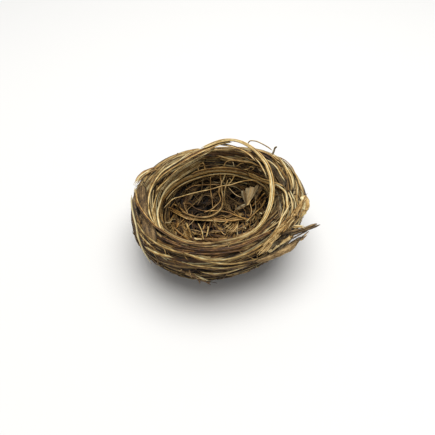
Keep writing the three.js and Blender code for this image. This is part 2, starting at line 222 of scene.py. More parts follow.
# values given at even steps, read at every point of a strand
def alongStrand(values, points):
    return np.interp(np.linspace(0, 1, points), np.linspace(0, 1, len(values)), values)


# a strand's section, and the painted shade on its edges and its underside
strandForm = {
    "flatness": 0.7, "foldPower": 1.5, "ribFade": 4, "edgeDark": 0.78, "edgePower": 1.5, "underShade": 0.3,
}
fibreSpacing = 3.7  # millimetres between two strands on the map "fibre"
sheetLayout = {  # shares of a strand's own cell on the map "OFBake"
    "rowsPerColumn": 18, "sideStart": 0.03, "sideLength": 0.94, "sideLow": 0.05, "sideWidth": 0.9,
    "capInset": 0.012, "capLength": 0.009, "capWidth": 0.4,
}


# Section points of a flat blade, from edge to edge over the top and back under: place across (-1 to 1), and
# side (1 on top, -1 underneath, 0 at an edge). A round strand uses a circle instead.
def bladeSection(corners):
    half = corners // 2
    turn = np.pi * np.arange(corners) / half
    across = -np.cos(turn)
    side = np.sign(np.sin(turn)) * (np.abs(np.sin(turn)) > tiny)
    return across, side * np.abs(np.sin(turn)) ** strandForm["flatness"]


# a circle's place across and outward, as minus the cosine and the sine of the turn
def roundSection(corners):
    turn = 2 * np.pi * np.arange(corners) / corners
    return -np.cos(turn), np.sin(turn)


# A section carried along each centre line: across the strand by its width and out of its face by half its
# thickness, a fold that lifts both edges, and ribs, cosine waves across the top. Gives the points, their
# place across, and the painted shade round the section: less light at the edges and underneath.
def strandShape(centre, face, width, thick, corners, fold=0.0, ribs=0, ribHeight=0.0, twist=None,
                isRound=False, edgeDark=strandForm["edgeDark"]):
    along = unit(np.gradient(centre, axis=1))
    side = unit(np.cross(along, face))
    up = np.cross(side, along)
    if twist is not None:
        c, s = np.cos(twist)[..., None], np.sin(twist)[..., None]
        side, up = side * c + up * s, up * c - side * s
    across, outward = roundSection(corners) if isRound else bladeSection(corners)
    half = width[..., None] / 2
    x = across * half
    y = outward * np.asarray(thick)[..., None] / 2
    if not isRound:
        y = y + np.asarray(fold)[..., None] * np.abs(across) ** strandForm["foldPower"] * half
        fade = 1 - across ** strandForm["ribFade"]
        y = y + ribHeight * np.cos(np.pi * ribs * across) * (outward > 0) * fade
    # painted shade: the edges and the underside are darker, as the shade that falls between strands
    light = 1 - edgeDark * np.abs(across) ** strandForm["edgePower"]
    light = light - strandForm["underShade"] * (outward < -tiny)
    return centre[:, :, None] + side[:, :, None] * x[..., None] + up[:, :, None] * y[..., None], x, light


# strands ready for strandMesh: their points and places across, and tone, painted shade and warmth
def strandPart(shape, across, tone, shade, warmth=0.0):
    return {"shape": shape, "across": across, "tone": tone, "shade": shade, "warmth": warmth}


# one strand's faces as vertex numbers and the place where each starts: quads along it, and a cap at each end
def strandFaces(points, corners):
    m, k = np.meshgrid(np.arange(points - 1), np.arange(corners), indexing="ij")
    following = (k + 1) % corners
    quads = np.stack([m * corners + k, m * corners + following, (m + 1) * corners + following,
                      (m + 1) * corners + k], -1).reshape(-1)
    caps = np.concatenate([np.arange(corners)[::-1], (points - 1) * corners + np.arange(corners)])
    starts = np.concatenate([np.arange((points - 1) * corners) * 4, len(quads) + np.array([0, corners])])
    return np.concatenate([quads, caps]), starts


# the same faces' corners in the strand's own cell of the sheet, 0 to 1 each way
def strandCell(points, corners):
    m, k = np.meshgrid(np.arange(points - 1), np.arange(corners), indexing="ij")
    sideU = np.stack([m, m, m + 1, m + 1], -1).reshape(-1) / (points - 1)
    sideV = np.stack([k, k + 1, k + 1, k], -1).reshape(-1) / corners
    turn = 2 * np.pi * np.arange(corners) / corners
    capU = sheetLayout["capLength"] * np.cos(turn)
    capV = 0.5 + sheetLayout["capWidth"] * np.sin(turn)
    u = np.concatenate([sheetLayout["sideStart"] + sheetLayout["sideLength"] * sideU,
                        sheetLayout["capInset"] + capU, 1 - sheetLayout["capInset"] + capU])
    v = np.concatenate([sheetLayout["sideLow"] + sheetLayout["sideWidth"] * sideV, capV, capV])
    return u, v


# Joins strands into one mesh. The map "fibre" follows each strand in millimetres; the map "OFBake" gives
# each its own cell on a sheet.
def strandMesh(name, parts, material):
    verts, loops, starts, fibre, sheet, tones, shades, warmths = ([] for _ in range(8))
    vertexCount, loopCount, strandCount = 0, 0, 0
    total = sum(part["shape"].shape[0] for part in parts)
    columns = max(1, int(np.sqrt(total / sheetLayout["rowsPerColumn"])))
    rows = int(np.ceil(total / columns))
    for part in parts:
        shape = part["shape"]
        count, points, corners = shape.shape[:3]
        oneLoops, oneStarts = strandFaces(points, corners)
        each = np.arange(count)[:, None]
        loops.append((vertexCount + each * points * corners + oneLoops).reshape(-1))
        starts.append((loopCount + each * len(oneLoops) + oneStarts).reshape(-1))

        steps = np.linalg.norm(np.diff(shape.mean(2), axis=1), axis=-1)
        length = np.concatenate([np.zeros((count, 1)), np.cumsum(steps, axis=1)], 1)
        number = strandCount + np.arange(count)
        u = np.repeat(length[:, :, None], corners, 2).reshape(count, -1)
        v = (part["across"] + (number * fibreSpacing)[:, None, None]).reshape(count, -1)
        fibre.append(np.stack([u[:, oneLoops], v[:, oneLoops]], -1).reshape(-1, 2))

        cellU, cellV = strandCell(points, corners)
        column, row = (number % columns)[:, None], (number // columns)[:, None]
        sheet.append(np.stack([(column + cellU) / columns, (row + cellV) / rows], -1).reshape(-1, 2))
        verts.append(shape.reshape(-1, 3))
        tones.append(np.repeat(part["tone"], points * corners))
        shades.append(part["shade"].reshape(-1))
        warmths.append(np.full(count * points * corners, part["warmth"]))
        vertexCount += count * points * corners
        loopCount += count * len(oneLoops)
        strandCount += count

    mesh = bpy.data.meshes.new(name)
    mesh.vertices.add(vertexCount)
    mesh.vertices.foreach_set("co", (np.concatenate(verts) * mm).astype(np.float32).reshape(-1))
    mesh.loops.add(loopCount)
    mesh.loops.foreach_set("vertex_index", np.concatenate(loops).astype(np.int32))
    allStarts = np.concatenate(starts).astype(np.int32)
    mesh.polygons.add(len(allStarts))
    mesh.polygons.foreach_set("loop_start", allStarts)
    mesh.polygons.foreach_set("use_smooth", np.ones(len(allStarts), bool))
    for mapName, values in (("fibre", fibre), ("OFBake", sheet)):
        layer = mesh.uv_layers.new(name=mapName)
        layer.uv.foreach_set("vector", np.concatenate(values).astype(np.float32).reshape(-1))
    mesh.uv_layers["fibre"].active_render = True
    for label, values in (("tone", tones), ("shade", shades), ("warmth", warmths)):
        attribute = mesh.attributes.new(label, "FLOAT", "POINT")
        attribute.data.foreach_set("value", np.concatenate(values).astype(np.float32))
    mesh.update()
    mesh.validate()
    mesh.materials.append(material)
    piece = bpy.data.objects.new(name, mesh)
    bpy.context.scene.collection.objects.link(piece)
    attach(piece, "root")
    return piece


class Value:
    # a node socket that Python's operators work on, each adding one Math node
    def __init__(self, tree, socket):
        self.tree = tree
        self.socket = socket

    # adds any node: its settings first, then each socket's value or link
    def make(self, kind, settings=None, values=None, out=0):
        node = self.tree.nodes.new(kind)
        for key, setting in (settings or {}).items():
            if key == "stops":
                ramp = node.color_ramp
                while len(ramp.elements) < len(setting):
                    ramp.elements.new(0.5)
                for element, (place, colour) in zip(ramp.elements, setting):
                    element.position = place
                    element.color = (*colour, 1)
            else:
                setattr(node, key, setting)
        for key, value in (values or {}).items():
            if isinstance(value, Value):
                self.tree.links.new(value.socket, node.inputs[key])
            else:
                node.inputs[key].default_value = value
        return Value(self.tree, node.outputs[out])

    def math(self, operation, first, second, clamp=False):
        settings = {"operation": operation, "use_clamp": clamp}
        return self.make("ShaderNodeMath", settings, {0: first, 1: second})

    def __add__(self, other):
        return self.math("ADD", self, other)

    __radd__ = __add__

    def __sub__(self, other):
        return self.math("SUBTRACT", self, other)

    def __rsub__(self, other):
        return self.math("SUBTRACT", other, self)

    def __mul__(self, other):
        return self.math("MULTIPLY", self, other)

    __rmul__ = __mul__

    def __pow__(self, other):
        return self.math("POWER", self, other)

    def clamped(self):
        return self.math("ADD", self, 0.0, True)

    # how far the value is from low to high, smoothly, as 0 to 1
    def between(self, low, high):
        return self.make("ShaderNodeMapRange", {"interpolation_type": "SMOOTHSTEP"},
                         {"Value": self, "From Min": low, "From Max": high})

    def mixed(self, one, other, mode="MIX"):
        return self.make("ShaderNodeMix", {"data_type": "RGBA", "blend_type": mode},
                         {0: self, 6: one, 7: other}, 2)


# each look's colours from its darkest to its palest tone (linear), its grey of age, its roughness and
# relief, and how strongly the streaks show
grassLook = {
    "tones": [(0.00, (0.010, 0.005, 0.003)), (0.22, (0.050, 0.025, 0.009)), (0.45, (0.200, 0.110, 0.036)),
              (0.68, (0.450, 0.300, 0.108)), (0.86, (0.720, 0.535, 0.235)), (1.00, (0.900, 0.770, 0.470))],
    "grey": (0.15, 0.125, 0.090), "greyShare": 0.16, "roughness": 0.34, "bump": 0.45, "streaks": 1.3,
}
barkLook = {
    "tones": [(0.00, (0.012, 0.008, 0.005)), (0.30, (0.060, 0.042, 0.022)), (0.55, (0.170, 0.125, 0.069)),
              (0.80, (0.340, 0.260, 0.148)), (1.00, (0.600, 0.500, 0.325))],
    "grey": (0.17, 0.141, 0.098), "greyShare": 0.35, "roughness": 0.55, "bump": 0.9, "streaks": 2.1,
}
rootLook = {
    "tones": [(0.00, (0.010, 0.005, 0.003)), (0.30, (0.055, 0.028, 0.010)), (0.60, (0.250, 0.148, 0.052)),
              (0.85, (0.560, 0.400, 0.180)), (1.00, (0.840, 0.680, 0.410))],
    "grey": (0.13, 0.110, 0.080), "greyShare": 0.2, "roughness": 0.42, "bump": 0.3, "streaks": 0.8,
}


# what the three looks share: noises on the map "fibre" (stretch, scale, detail), the share of each in the
# tone, the limits between which one fades in, and tints
surface = {
    "noises": {"streak": ((0.05, 1.0, 1.0), 1.6, 3.0), "fine": ((0.12, 1.0, 1.0), 6.5, 2.0),
               "patch": ((0.22, 0.5, 1.0), 1.0, 2.0), "hue": ((0.004, 0.31, 1.0), 1.0, 1.0)},
    "blotch": ((1.0, 1.0, 1.0), 75.0, 3.0),
    "streakShare": 0.55, "fineShare": 0.60, "patchShare": 1.0, "blotchShare": 0.40,
    "hueFade": (0.41, 0.59), "warmTint": (1.0, 0.82, 0.58, 1), "coolTint": (0.95, 1.01, 1.0, 1),
    "greyFade": (0.45, 0.75), "speckFade": (0.66, 0.74), "speckStreakFade": (0.5, 0.62), "speckShare": 0.5,
    "speckColour": (0.012, 0.007, 0.004, 1), "shadePowers": (1.06, 1.16),
    "roughFine": 0.25, "roughPatch": 0.15, "roughShade": 0.5,
    "bumpStreak": 0.5, "bumpFine": 0.6, "bumpDistance": 0.00025, "specular": 0.3,
}


# Colour is the strand's tone moved up and down by noises that swing about 0.5: three drawn out along the
# fibre and one blotch in space. It is tinted warm or cool by a slow noise and the strand's warmth, greyed
# where the blotch is high, specked dark, and darkened by the strand's painted shade, blue most.
def strandMaterial(name, look):
    material = bpy.data.materials.new(name)
    material.use_nodes = True
    tree = material.node_tree
    shader = tree.nodes["Principled BSDF"]
    base = Value(tree, None)
    tone, shade, warmth = (base.make("ShaderNodeAttribute", {"attribute_name": label}, out=2)
                           for label in ("tone", "shade", "warmth"))
    fibre = base.make("ShaderNodeUVMap", {"uv_map": "fibre"})
    objectPlace = base.make("ShaderNodeTexCoord", out=3)

    def noise(vector, stretch, scale, detail):
        placed = base.make("ShaderNodeMapping", {}, {"Vector": vector, "Scale": stretch})
        return base.make("ShaderNodeTexNoise", {}, {"Vector": placed, "Scale": scale, "Detail": detail})

    def multiplied(colour, tint):
        return base.make("ShaderNodeMix", {"data_type": "RGBA", "blend_type": "MULTIPLY"},
                         {0: 1.0, 6: colour, 7: tint}, 2)

    streak, fine, patch, hue = (noise(fibre, *surface["noises"][label])
                                for label in ("streak", "fine", "patch", "hue"))
    blotch = noise(objectPlace, *surface["blotch"])
    grain = (streak - 0.5) * surface["streakShare"] + (fine - 0.5) * surface["fineShare"]
    level = (tone + grain * look["streaks"] + (patch - 0.5) * surface["patchShare"]
             + (blotch - 0.5) * surface["blotchShare"])
    colour = base.make("ShaderNodeValToRGB", {"stops": look["tones"]}, {"Fac": level.clamped()})
    coolness = (hue.between(*surface["hueFade"]) - warmth).clamped()
    colour = multiplied(colour, coolness.mixed(surface["warmTint"], surface["coolTint"]))
    greying = blotch.between(*surface["greyFade"]) * look["greyShare"]
    colour = greying.mixed(colour, (*look["grey"], 1))
    specks = (fine.between(*surface["speckFade"]) * streak.between(*surface["speckStreakFade"])
              * surface["speckShare"])
    colour = specks.mixed(colour, surface["speckColour"])
    greenPower, bluePower = surface["shadePowers"]
    # painted shade: the strand's shade attribute darkens the colour
    paintedShadeTint = base.make("ShaderNodeCombineColor", {},
                          {0: shade, 1: shade ** greenPower, 2: shade ** bluePower})
    colour = multiplied(colour, paintedShadeTint)
    rough = (look["roughness"] + (fine - 0.5) * surface["roughFine"] + (patch - 0.5) * surface["roughPatch"]
             + (1 - shade) * surface["roughShade"])
    height = streak * surface["bumpStreak"] + fine * surface["bumpFine"]
    bump = base.make("ShaderNodeBump", {}, {"Height": height, "Strength": look["bump"],
                                            "Distance": surface["bumpDistance"]})
    tree.links.new(colour.socket, shader.inputs["Base Color"])
    tree.links.new(rough.clamped().socket, shader.inputs["Roughness"])
    tree.links.new(bump.socket, shader.inputs["Normal"])
    shader.inputs["Specular IOR Level"].default_value = surface["specular"]
    return material


grass = strandMaterial("dryGrass", grassLook)
bark = strandMaterial("barkStrip", barkLook)
root = strandMaterial("rootlet", rootLook)
print("materials ready")

# The woven wall is laid strand by strand on a map of the wall. Each strand lies on what is already there:
# its height is the highest strand under it, smoothed as a stiff blade would be, so later strands cross over
# earlier ones.
mapRadius = 40.0  # millimetres along the round map's width for each radian
cell = 0.5  # millimetres across one cell of a map
roundCells = int(2 * np.pi * mapRadius / cell)
flatCells = 160  # along each side of a flat map
startLevel = -3.4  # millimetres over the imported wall's face before any strand is laid
leastRadius = 5.0  # millimetres; nearer the axis the round map stretches no further
piles = {
    "round": np.full((int(fullArc / cell) + 2) * roundCells, startLevel),
    "floor": np.full(flatCells * flatCells, startLevel),
    "base": np.full(flatCells * flatCells, startLevel),
}


# the "round" map is angle times mapRadius by distance along the section; the other two are flat maps of the
# cup's floor and of the base, with distance from the middle true along the section
def placeOnMap(chart, p, q):
    if chart == "round":
        return p / mapRadius, stationAtArc(q)
    reach = np.hypot(p, q)
    arc = fullArc - reach if chart == "floor" else reach
    return np.arctan2(q, p), stationAtArc(arc)


# map units for each millimetre round the wall; near enough one on the flat maps
def mapStretch(chart, q):
    if chart != "round":
        return np.ones_like(q)
    return mapRadius / np.maximum(sectionRadius(stationAtArc(q)), leastRadius)


# the number of the map's cell at each place
def mapCells(chart, p, q):
    if chart == "round":
        i = np.clip((q / cell).astype(int), 0, int(fullArc / cell))
        return i * roundCells + (p / cell).astype(int) % roundCells
    i = np.clip((q / cell).astype(int) + flatCells // 2, 0, flatCells - 1)
    j = np.clip((p / cell).astype(int) + flatCells // 2, 0, flatCells - 1)
    return i * flatCells + j


# the same values read at more steps
def finer(values, times):
    points = values.shape[-1]
    place = np.linspace(0, points - 1, points * times)
    i = np.minimum(place.astype(int), points - 2)
    t = place - i
    return values[..., i] * (1 - t) + values[..., i + 1] * t


laying = {"finer": 6, "footprint": 0.45, "footprintPoints": 5, "stiffness": (0.25, 0.5, 0.25), "gap": 0.03}


# Of a few places tried for each strand, the lowest lying is kept, and the pile under later strands grows by
# it. The cover is the highest strand within reach, averaged over neighbouring points again and again.
def layDown(chart, p, q, width, thick, reach, top):
    tries, count, points = p.shape
    times = laying["finer"]
    fineP, fineQ = finer(p, times), finer(q, times)
    sideP, sideQ = sideways(chart, fineP, fineQ)
    footprint = np.linspace(-laying["footprint"], laying["footprint"], laying["footprintPoints"])
    shift = footprint * width[:, None]
    cells = mapCells(chart, fineP[..., None] + sideP[..., None] * shift[:, None],
                     fineQ[..., None] + sideQ[..., None] * shift[:, None])
    pile = piles[chart]
    chosen = np.zeros(count, int)
    lift = np.zeros((count, points))
    for k in range(count):
        best = None
        for trial in range(tries):
            under = pile[cells[trial, k]].max(-1).reshape(points, times).max(-1)
            padded = np.pad(under, reach, mode="edge")
            cover = np.max([padded[i:i + points] for i in range(2 * reach + 1)], axis=0)
            for _ in range(reach + 1):
                cover = np.convolve(np.pad(cover, 1, mode="edge"), laying["stiffness"], "valid")
            if best is None or cover.mean() < best.mean():
                best, chosen[k] = cover, trial
        lift[k] = np.minimum(best + thick[k] / 2 + laying["gap"], top[k])
        spot = cells[chosen[k], k]
        level = finer(lift[k], times) + thick[k] / 2
        pile[spot] = np.maximum(pile[spot], level[:, None])
    pick = (chosen, np.arange(count))
    return p[pick], q[pick], lift


lineForm = {
    "leastCrossing": 20, "roundWaves": 4, "spread": (1, 1), "endMargin": 9.0,
    "flatWaves": 5, "flatWaver": 12, "bowLength": 40, "edgeSlack": 2,
}


# Lines round the wall: a heading that wavers about its slope, stepped along, with its middle at a random
# distance between the family's two stations. Crossing strands slope either way and more.
def linesRound(rng, family, tries, count, points, length):
    low, high = arcAtStation(np.array(family["stations"]))
    slope = np.radians(rng.normal(0, family["slope"], (tries, count, 1)))
    if family.get("eitherWay"):
        crossing = np.radians(rng.uniform(lineForm["leastCrossing"], family["slope"], (tries, count, 1)))
        slope = crossing * rng.choice([-1, 1], (tries, count, 1))
    waver = wander(rng, tries * count, points, lineForm["roundWaves"]).reshape(tries, count, points)
    heading = slope + waver * family["waver"]
    step = (length / (points - 1))[:, None]
    q = np.cumsum(np.sin(heading) * step, -1)
    middle = low + (high - low) * rng.beta(*lineForm["spread"], (tries, count, 1))
    q = q - q.mean(-1, keepdims=True) + middle
    q = np.clip(q, lineForm["endMargin"], fullArc - lineForm["endMargin"])
    p = np.cumsum(np.cos(heading) * step * mapStretch("round", q), -1)
    return p + rng.uniform(0, 2 * np.pi * mapRadius, (tries, count, 1)), q


# lines over a flat map: chords with a bow and a waver, kept inside its edge
def linesAcross(rng, family, tries, count, points, length):
    t = np.linspace(-0.5, 0.5, points)
    turn = rng.uniform(0, 2 * np.pi, (tries, count, 1))
    offset = rng.uniform(-1, 1, (tries, count, 1)) * family["edge"]
    slide = rng.uniform(-0.5, 0.5, (tries, count, 1)) * family["edge"]
    bow = (rng.normal(0, 1, (tries, count, 1)) + np.sign(offset)) * family["bow"]
    along = t * length[:, None] + slide
    waver = wander(rng, tries * count, points, lineForm["flatWaves"]).reshape(tries, count, points)
    across = (offset - bow * (4 * t * t) * length[:, None] / lineForm["bowLength"]
              + waver * family["waver"] * lineForm["flatWaver"])
    p = along * np.cos(turn) - across * np.sin(turn)
    q = along * np.sin(turn) + across * np.cos(turn)
    reach = np.hypot(p, q)
    shrink = np.minimum(1, (family["edge"] + lineForm["edgeSlack"]) / np.maximum(reach, 1))
    return p * shrink, q * shrink


# The strands in the order in which they are laid: counts, sizes in millimetres, slopes in degrees, tones
# from 0 (dark) to 1 (pale), and the greatest height over the imported wall's face (top). The edge is a flat
# map's.
# the deep families' and the cup's middle blades' low tones are partly the strands' own colour and partly
# painted shade in the gaps under the strands laid over them
families = {
    "wallDeepBlades": dict(
        chart="round", count=190, points=22, corners=4, stations=(0.10, 0.52), slope=9, waver=0.10,
        length=(50, 110), width=(1.8, 3.2), thick=(0.2, 0.3), tone=(0.05, 0.35), reach=1, top=-1.8,
        look="bark"),
    "cupDeepBlades": dict(
        chart="round", count=170, points=22, corners=4, stations=(0.50, 0.84), slope=10, waver=0.12,
        length=(40, 90), width=(1.6, 3.0), thick=(0.2, 0.3), tone=(0.0, 0.2), reach=1, top=-1.8,
        look="grass"),
    "floorDeepBlades": dict(
        chart="floor", count=110, points=18, corners=4, edge=24, bow=2, waver=0.10, length=(25, 55),
        width=(1.4, 2.8), thick=(0.2, 0.3), tone=(0.05, 0.25), reach=1, top=-1.9, look="grass"),
    "baseDeepBlades": dict(
        chart="base", count=90, points=18, corners=4, edge=24, bow=3, waver=0.08, length=(30, 70),
        width=(1.8, 3.2), thick=(0.2, 0.3), tone=(0.05, 0.3), reach=1, top=-1.4, look="bark"),
    "wallMiddleBlades": dict(
        chart="round", count=230, points=28, corners=5, stations=(0.13, 0.50), slope=9, waver=0.08,
        length=(50, 120), width=(0.6, 1.7), thick=(0.3, 0.42), tone=(0.10, 0.60), warmth=0.2, bundle=2,
        reach=2, top=-0.95, look="grass"),
    "rimMiddleBlades": dict(
        chart="round", count=150, points=30, corners=5, stations=(0.40, 0.60), slope=7, waver=0.08,
        length=(50, 130), width=(0.5, 1.5), thick=(0.3, 0.42), tone=(0.10, 0.60), bundle=2, reach=2,
        top=-0.85, look="grass"),
    "cupMiddleBlades": dict(
        chart="round", count=170, points=28, corners=5, stations=(0.55, 0.72), slope=8, waver=0.10,
        length=(35, 95), width=(0.5, 1.6), thick=(0.25, 0.4), tone=(-0.2, 0.40), bundle=2, reach=2,
        top=-0.8, look="grass"),
    "baseMiddleBlades": dict(
        chart="base", count=140, points=24, corners=5, edge=26, bow=3, waver=0.08, length=(35, 80),
        width=(0.7, 2.0), thick=(0.25, 0.4), tone=(0.2, 0.65), bundle=2, reach=2, top=-0.5, look="grass"),
    "barkStrips": dict(
        chart="round", count=36, points=34, corners=8, stations=(0.2, 0.56), slope=8, waver=0.07,
        length=(30, 80), width=(2.2, 4.0), thick=(0.2, 0.3), tone=(0.25, 0.6), reach=2, top=-0.3,
        look="bark"),
    "wallTopBlades": dict(
        chart="round", count=140, points=32, corners=6, stations=(0.15, 0.47), slope=11, waver=0.11,
        length=(30, 95), width=(0.55, 1.5), thick=(0.4, 0.6), tone=(0.2, 1.0), warmth=0.15, bundle=2,
        reach=2, top=0.0, look="grass"),
    "rimTopBlades": dict(
        chart="round", count=138, points=36, corners=6, stations=(0.42, 0.585), slope=6, waver=0.07,
        length=(60, 150), width=(0.6, 1.6), thick=(0.4, 0.6), tone=(0.27, 1.10), warmth=0.15, bundle=3,
        reach=2, top=0.1, look="grass"),
    "cupTopBlades": dict(
        chart="round", count=60, points=30, corners=6, stations=(0.57, 0.70), slope=8, waver=0.10,
        length=(35, 90), width=(0.4, 1.0), thick=(0.3, 0.45), tone=(0.3, 0.9), bundle=2, reach=2, top=-0.1,
        look="grass"),
    "crossingBlades": dict(
        chart="round", count=100, points=24, corners=5, stations=(0.2, 0.62), slope=60, eitherWay=True,
        waver=0.15, length=(12, 40), width=(0.35, 1.0), thick=(0.3, 0.45), tone=(0.3, 0.85), reach=2,
        top=0.3, look="grass"),
    "floorBlades": dict(
        chart="floor", count=84, points=24, corners=7, edge=25, bow=4, waver=0.12, length=(20, 55),
        width=(0.8, 2.6), thick=(0.2, 0.35), tone=(0.05, 0.80), warmth=0.35, reach=2, top=0.0, look="grass"),
    "cupRootlets": dict(
        chart="round", count=54, points=26, corners=5, stations=(0.62, 0.85), slope=75, eitherWay=True,
        waver=0.25, length=(16, 46), width=(0.3, 0.6), thick=None, tone=(0.35, 1.0), warmth=0.1, reach=1,
        top=0.8, arch=2.5, look="root"),
    "floorRootlets": dict(
        chart="floor", count=34, points=26, corners=5, edge=27, bow=7, waver=0.20, length=(18, 48),
        width=(0.3, 0.65), thick=None, tone=(0.45, 1.0), warmth=0.2, reach=1, top=1.0, arch=4.0,
        look="root"),
    "wallChaff": dict(
        chart="round", count=220, points=7, corners=4, stations=(0.13, 0.52), slope=80, eitherWay=True,
        waver=0.3, length=(1.5, 7), width=(0.3, 1.1), thick=(0.15, 0.3), tone=(0.3, 1.0), reach=1, top=0.7,
        arch=0.5, look="grass"),
    "cupChaff": dict(
        chart="floor", count=24, points=7, corners=4, edge=28, bow=1, waver=0.1, length=(2, 9),
        width=(0.3, 1.6), thick=(0.15, 0.3), tone=(0.15, 0.7), reach=1, top=1.0, arch=0.5, look="grass"),
}
# look: material, slot
looks = {"grass": (grass, "dry_grass"), "bark": (bark, "bark_strip"), "root": (root, "rootlet")}


# painted shade on darker places of the wall: angle and station of the middle, reach in degrees and in
# station, and the share of light taken off the colour
shadedPlaces = [
    (90, 0.605, 75, 0.045, 0.44), (198, 0.565, 45, 0.055, 0.86), (-12, 0.545, 42, 0.045, 0.60),
    (140, 0.500, 34, 0.05, 0.50), (88, 0.53, 45, 0.035, 0.54), (268, 0.485, 60, 0.05, 0.20),
    (268, 0.35, 85, 0.12, 0.45), (90, 0.80, 75, 0.13, 0.54), (128, 0.87, 32, 0.06, 0.60),
    (55, 0.80, 20, 0.05, 0.55)]
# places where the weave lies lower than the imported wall: angle, station, reaches, millimetres
sags = [(88, 0.50, 34, 0.07, 2.2), (198, 0.42, 30, 0.07, 1.6)]
depthShade = {"deepest": 1.7, "range": 1.75, "least": 0.05, "power": 1.2}  # depths in millimetres


# a smooth bump: 1 at the middle, falling off with the square of the distance as an exponential
def nearness(angle, station, middle, level, angleReach, stationReach):
    away = (np.degrees(angle) - middle + 180) % 360 - 180
    return np.exp(-(away / angleReach) ** 2 - ((station - level) / stationReach) ** 2)


# painted shade: deep strands are darker, as shade among the strands over them, and so are the shaded places
def strandShade(lift, angle, station):
    height = np.clip((lift + depthShade["deepest"]) / depthShade["range"], 0, 1)
    eased = height * height * (3 - 2 * height)
    shade = depthShade["least"] + (1 - depthShade["least"]) * eased ** depthShade["power"]
    for middle, level, angleReach, stationReach, lost in shadedPlaces:
        shade = shade * (1 - lost * nearness(angle, station, middle, level, angleReach, stationReach))
    return shade


taperForm = {
    "butt": 0.03, "tip": 0.35, "least": 0.12, "buttPower": 0.5, "tipPower": 0.7, "tipSpread": (0.3, 1.3),
    "uneven": 0.10, "unevenWaves": 9,
}


# width along a strand: a cut butt at one end and a long point at the other, with slight unevenness
def taper(rng, rows, points, butt=taperForm["butt"], tip=taperForm["tip"]):
    t = np.linspace(0, 1, points)[None]
    flip = rng.random((rows, 1)) < 0.5
    t = np.where(flip, 1 - t, t)
    start = np.clip(t / butt, 0, 1) ** taperForm["buttPower"]
    tips = tip * rng.uniform(*taperForm["tipSpread"], (rows, 1))
    finish = np.clip((1 - t) / tips, 0, 1) ** taperForm["tipPower"]
    uneven = 1 + taperForm["uneven"] * wander(rng, rows, points, taperForm["unevenWaves"])
    return (taperForm["least"] + (1 - taperForm["least"]) * start * finish) * uneven


# unit step to the side of a line on a map, in map units for each millimetre
def sideways(chart, p, q):
    stretch = mapStretch(chart, q)
    dp, dq = np.gradient(p, axis=-1) / stretch, np.gradient(q, axis=-1)
    size = np.maximum(np.hypot(dp, dq), tiny)
    return -dq / size * stretch, dp / size


bundleForm = {"spacing": 1.25, "waver": 0.35, "waves": 4}


# lines side by side in bundles: each keeps its place beside the bundle's own line, wavering a little
def bundled(rng, family, tries, count, points, length, width):
    group = family.get("bundle", 1)
    bundles = -(-count // group)
    lines = linesRound if family["chart"] == "round" else linesAcross
    p, q = lines(rng, family, tries, bundles, points, length[:bundles])
    sideP, sideQ = sideways(family["chart"], p, q)
    place = (np.arange(group) - (group - 1) / 2)[:, None] * width.mean() * bundleForm["spacing"]
    waver = wander(rng, bundles * group, points, bundleForm["waves"]).reshape(bundles, group, points)
    shift = place + bundleForm["waver"] * waver
    p = p[:, :, None] + sideP[:, :, None] * shift
    q = q[:, :, None] + sideQ[:, :, None] * shift
    return (p.reshape(tries, bundles * group, points)[:, :count],
            q.reshape(tries, bundles * group, points)[:, :count])


# how a family's strands vary: most are narrow, ends are tucked under or stand up, and flat ones twist and
# fold
weaveForm = {
    "tries": 3, "narrowPower": 1.5, "topScatter": 0.5, "tuck": (-0.4, 1.2), "tuckShare": 0.12,
    "twist": 0.35, "twistWaves": 3, "foldScatter": 0.16,
}


# One family's strands: lines laid on the map, with their ends tucked and their middles arched, carried over
# the wall's face, less its sags.
def familyPart(rng, family):
    count, points = family["count"], family["points"]
    length = rng.uniform(*family["length"], count)
    narrowest, widest = family["width"]
    width = rng.uniform(0, 1, count) ** weaveForm["narrowPower"] * (widest - narrowest) + narrowest
    isRound = family["thick"] is None
    thick = width.copy() if isRound else rng.uniform(*family["thick"], count)
    p, q = bundled(rng, family, weaveForm["tries"], count, points, length, width)
    top = family["top"] - rng.uniform(0, weaveForm["topScatter"], count)
    p, q, lift = layDown(family["chart"], p, q, width, thick, family["reach"], top)
    t = np.linspace(0, 1, points)[None]
    tuck = rng.uniform(*weaveForm["tuck"], (2, count, 1))
    for depth, fromEnd in zip(tuck, (t, 1 - t)):
        lift = lift - depth * np.clip(1 - fromEnd / weaveForm["tuckShare"], 0, 1) ** 2
    lift = lift + family.get("arch", 0) * rng.uniform(0, 1, (count, 1)) ** 2 * 4 * t * (1 - t)
    angle, station = placeOnMap(family["chart"], p, q)
    dip = sum(depth * nearness(angle, station, *place) for *place, depth in sags)
    centre, face = overWall(angle, station, lift - dip)
    widths = width[:, None] * taper(rng, count, points)
    twist = wander(rng, count, points, weaveForm["twistWaves"]) * (0 if isRound else weaveForm["twist"])
    fold = rng.normal(0, weaveForm["foldScatter"], (count, 1)) * np.ones((1, points))
    thickness = thick[:, None] * (widths / width[:, None] if isRound else np.ones((1, points)))
    shape, across, light = strandShape(centre, face, widths, thickness, family["corners"], fold=fold,
                                       twist=twist, isRound=isRound)
    shade = strandShade(lift, angle, station)[..., None] * light
    return strandPart(shape, across, rng.uniform(*family["tone"], count), shade, family.get("warmth", 0.0))


rng = np.random.default_rng(11)
for name, family in families.items():
    material, slot = looks[family["look"]]
    piece = strandMesh(name, [familyPart(rng, family)], material)
    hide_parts("woven_wall")
    print(name, "laid,", len(piece.data.polygons), "faces")


# Named blades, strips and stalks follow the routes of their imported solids.
lean = 0.15  # how far a blade on the rim faces outward


# smooth lines through rows of angle, station and lift; of angle, radius and height; or of x, y and z. Each
# gives the line and the way that a blade on it faces.
def wallRoute(rows, points):
    line = smoothLine(rows, points)
    return overWall(np.radians(line[:, 0]), line[:, 1], line[:, 2])


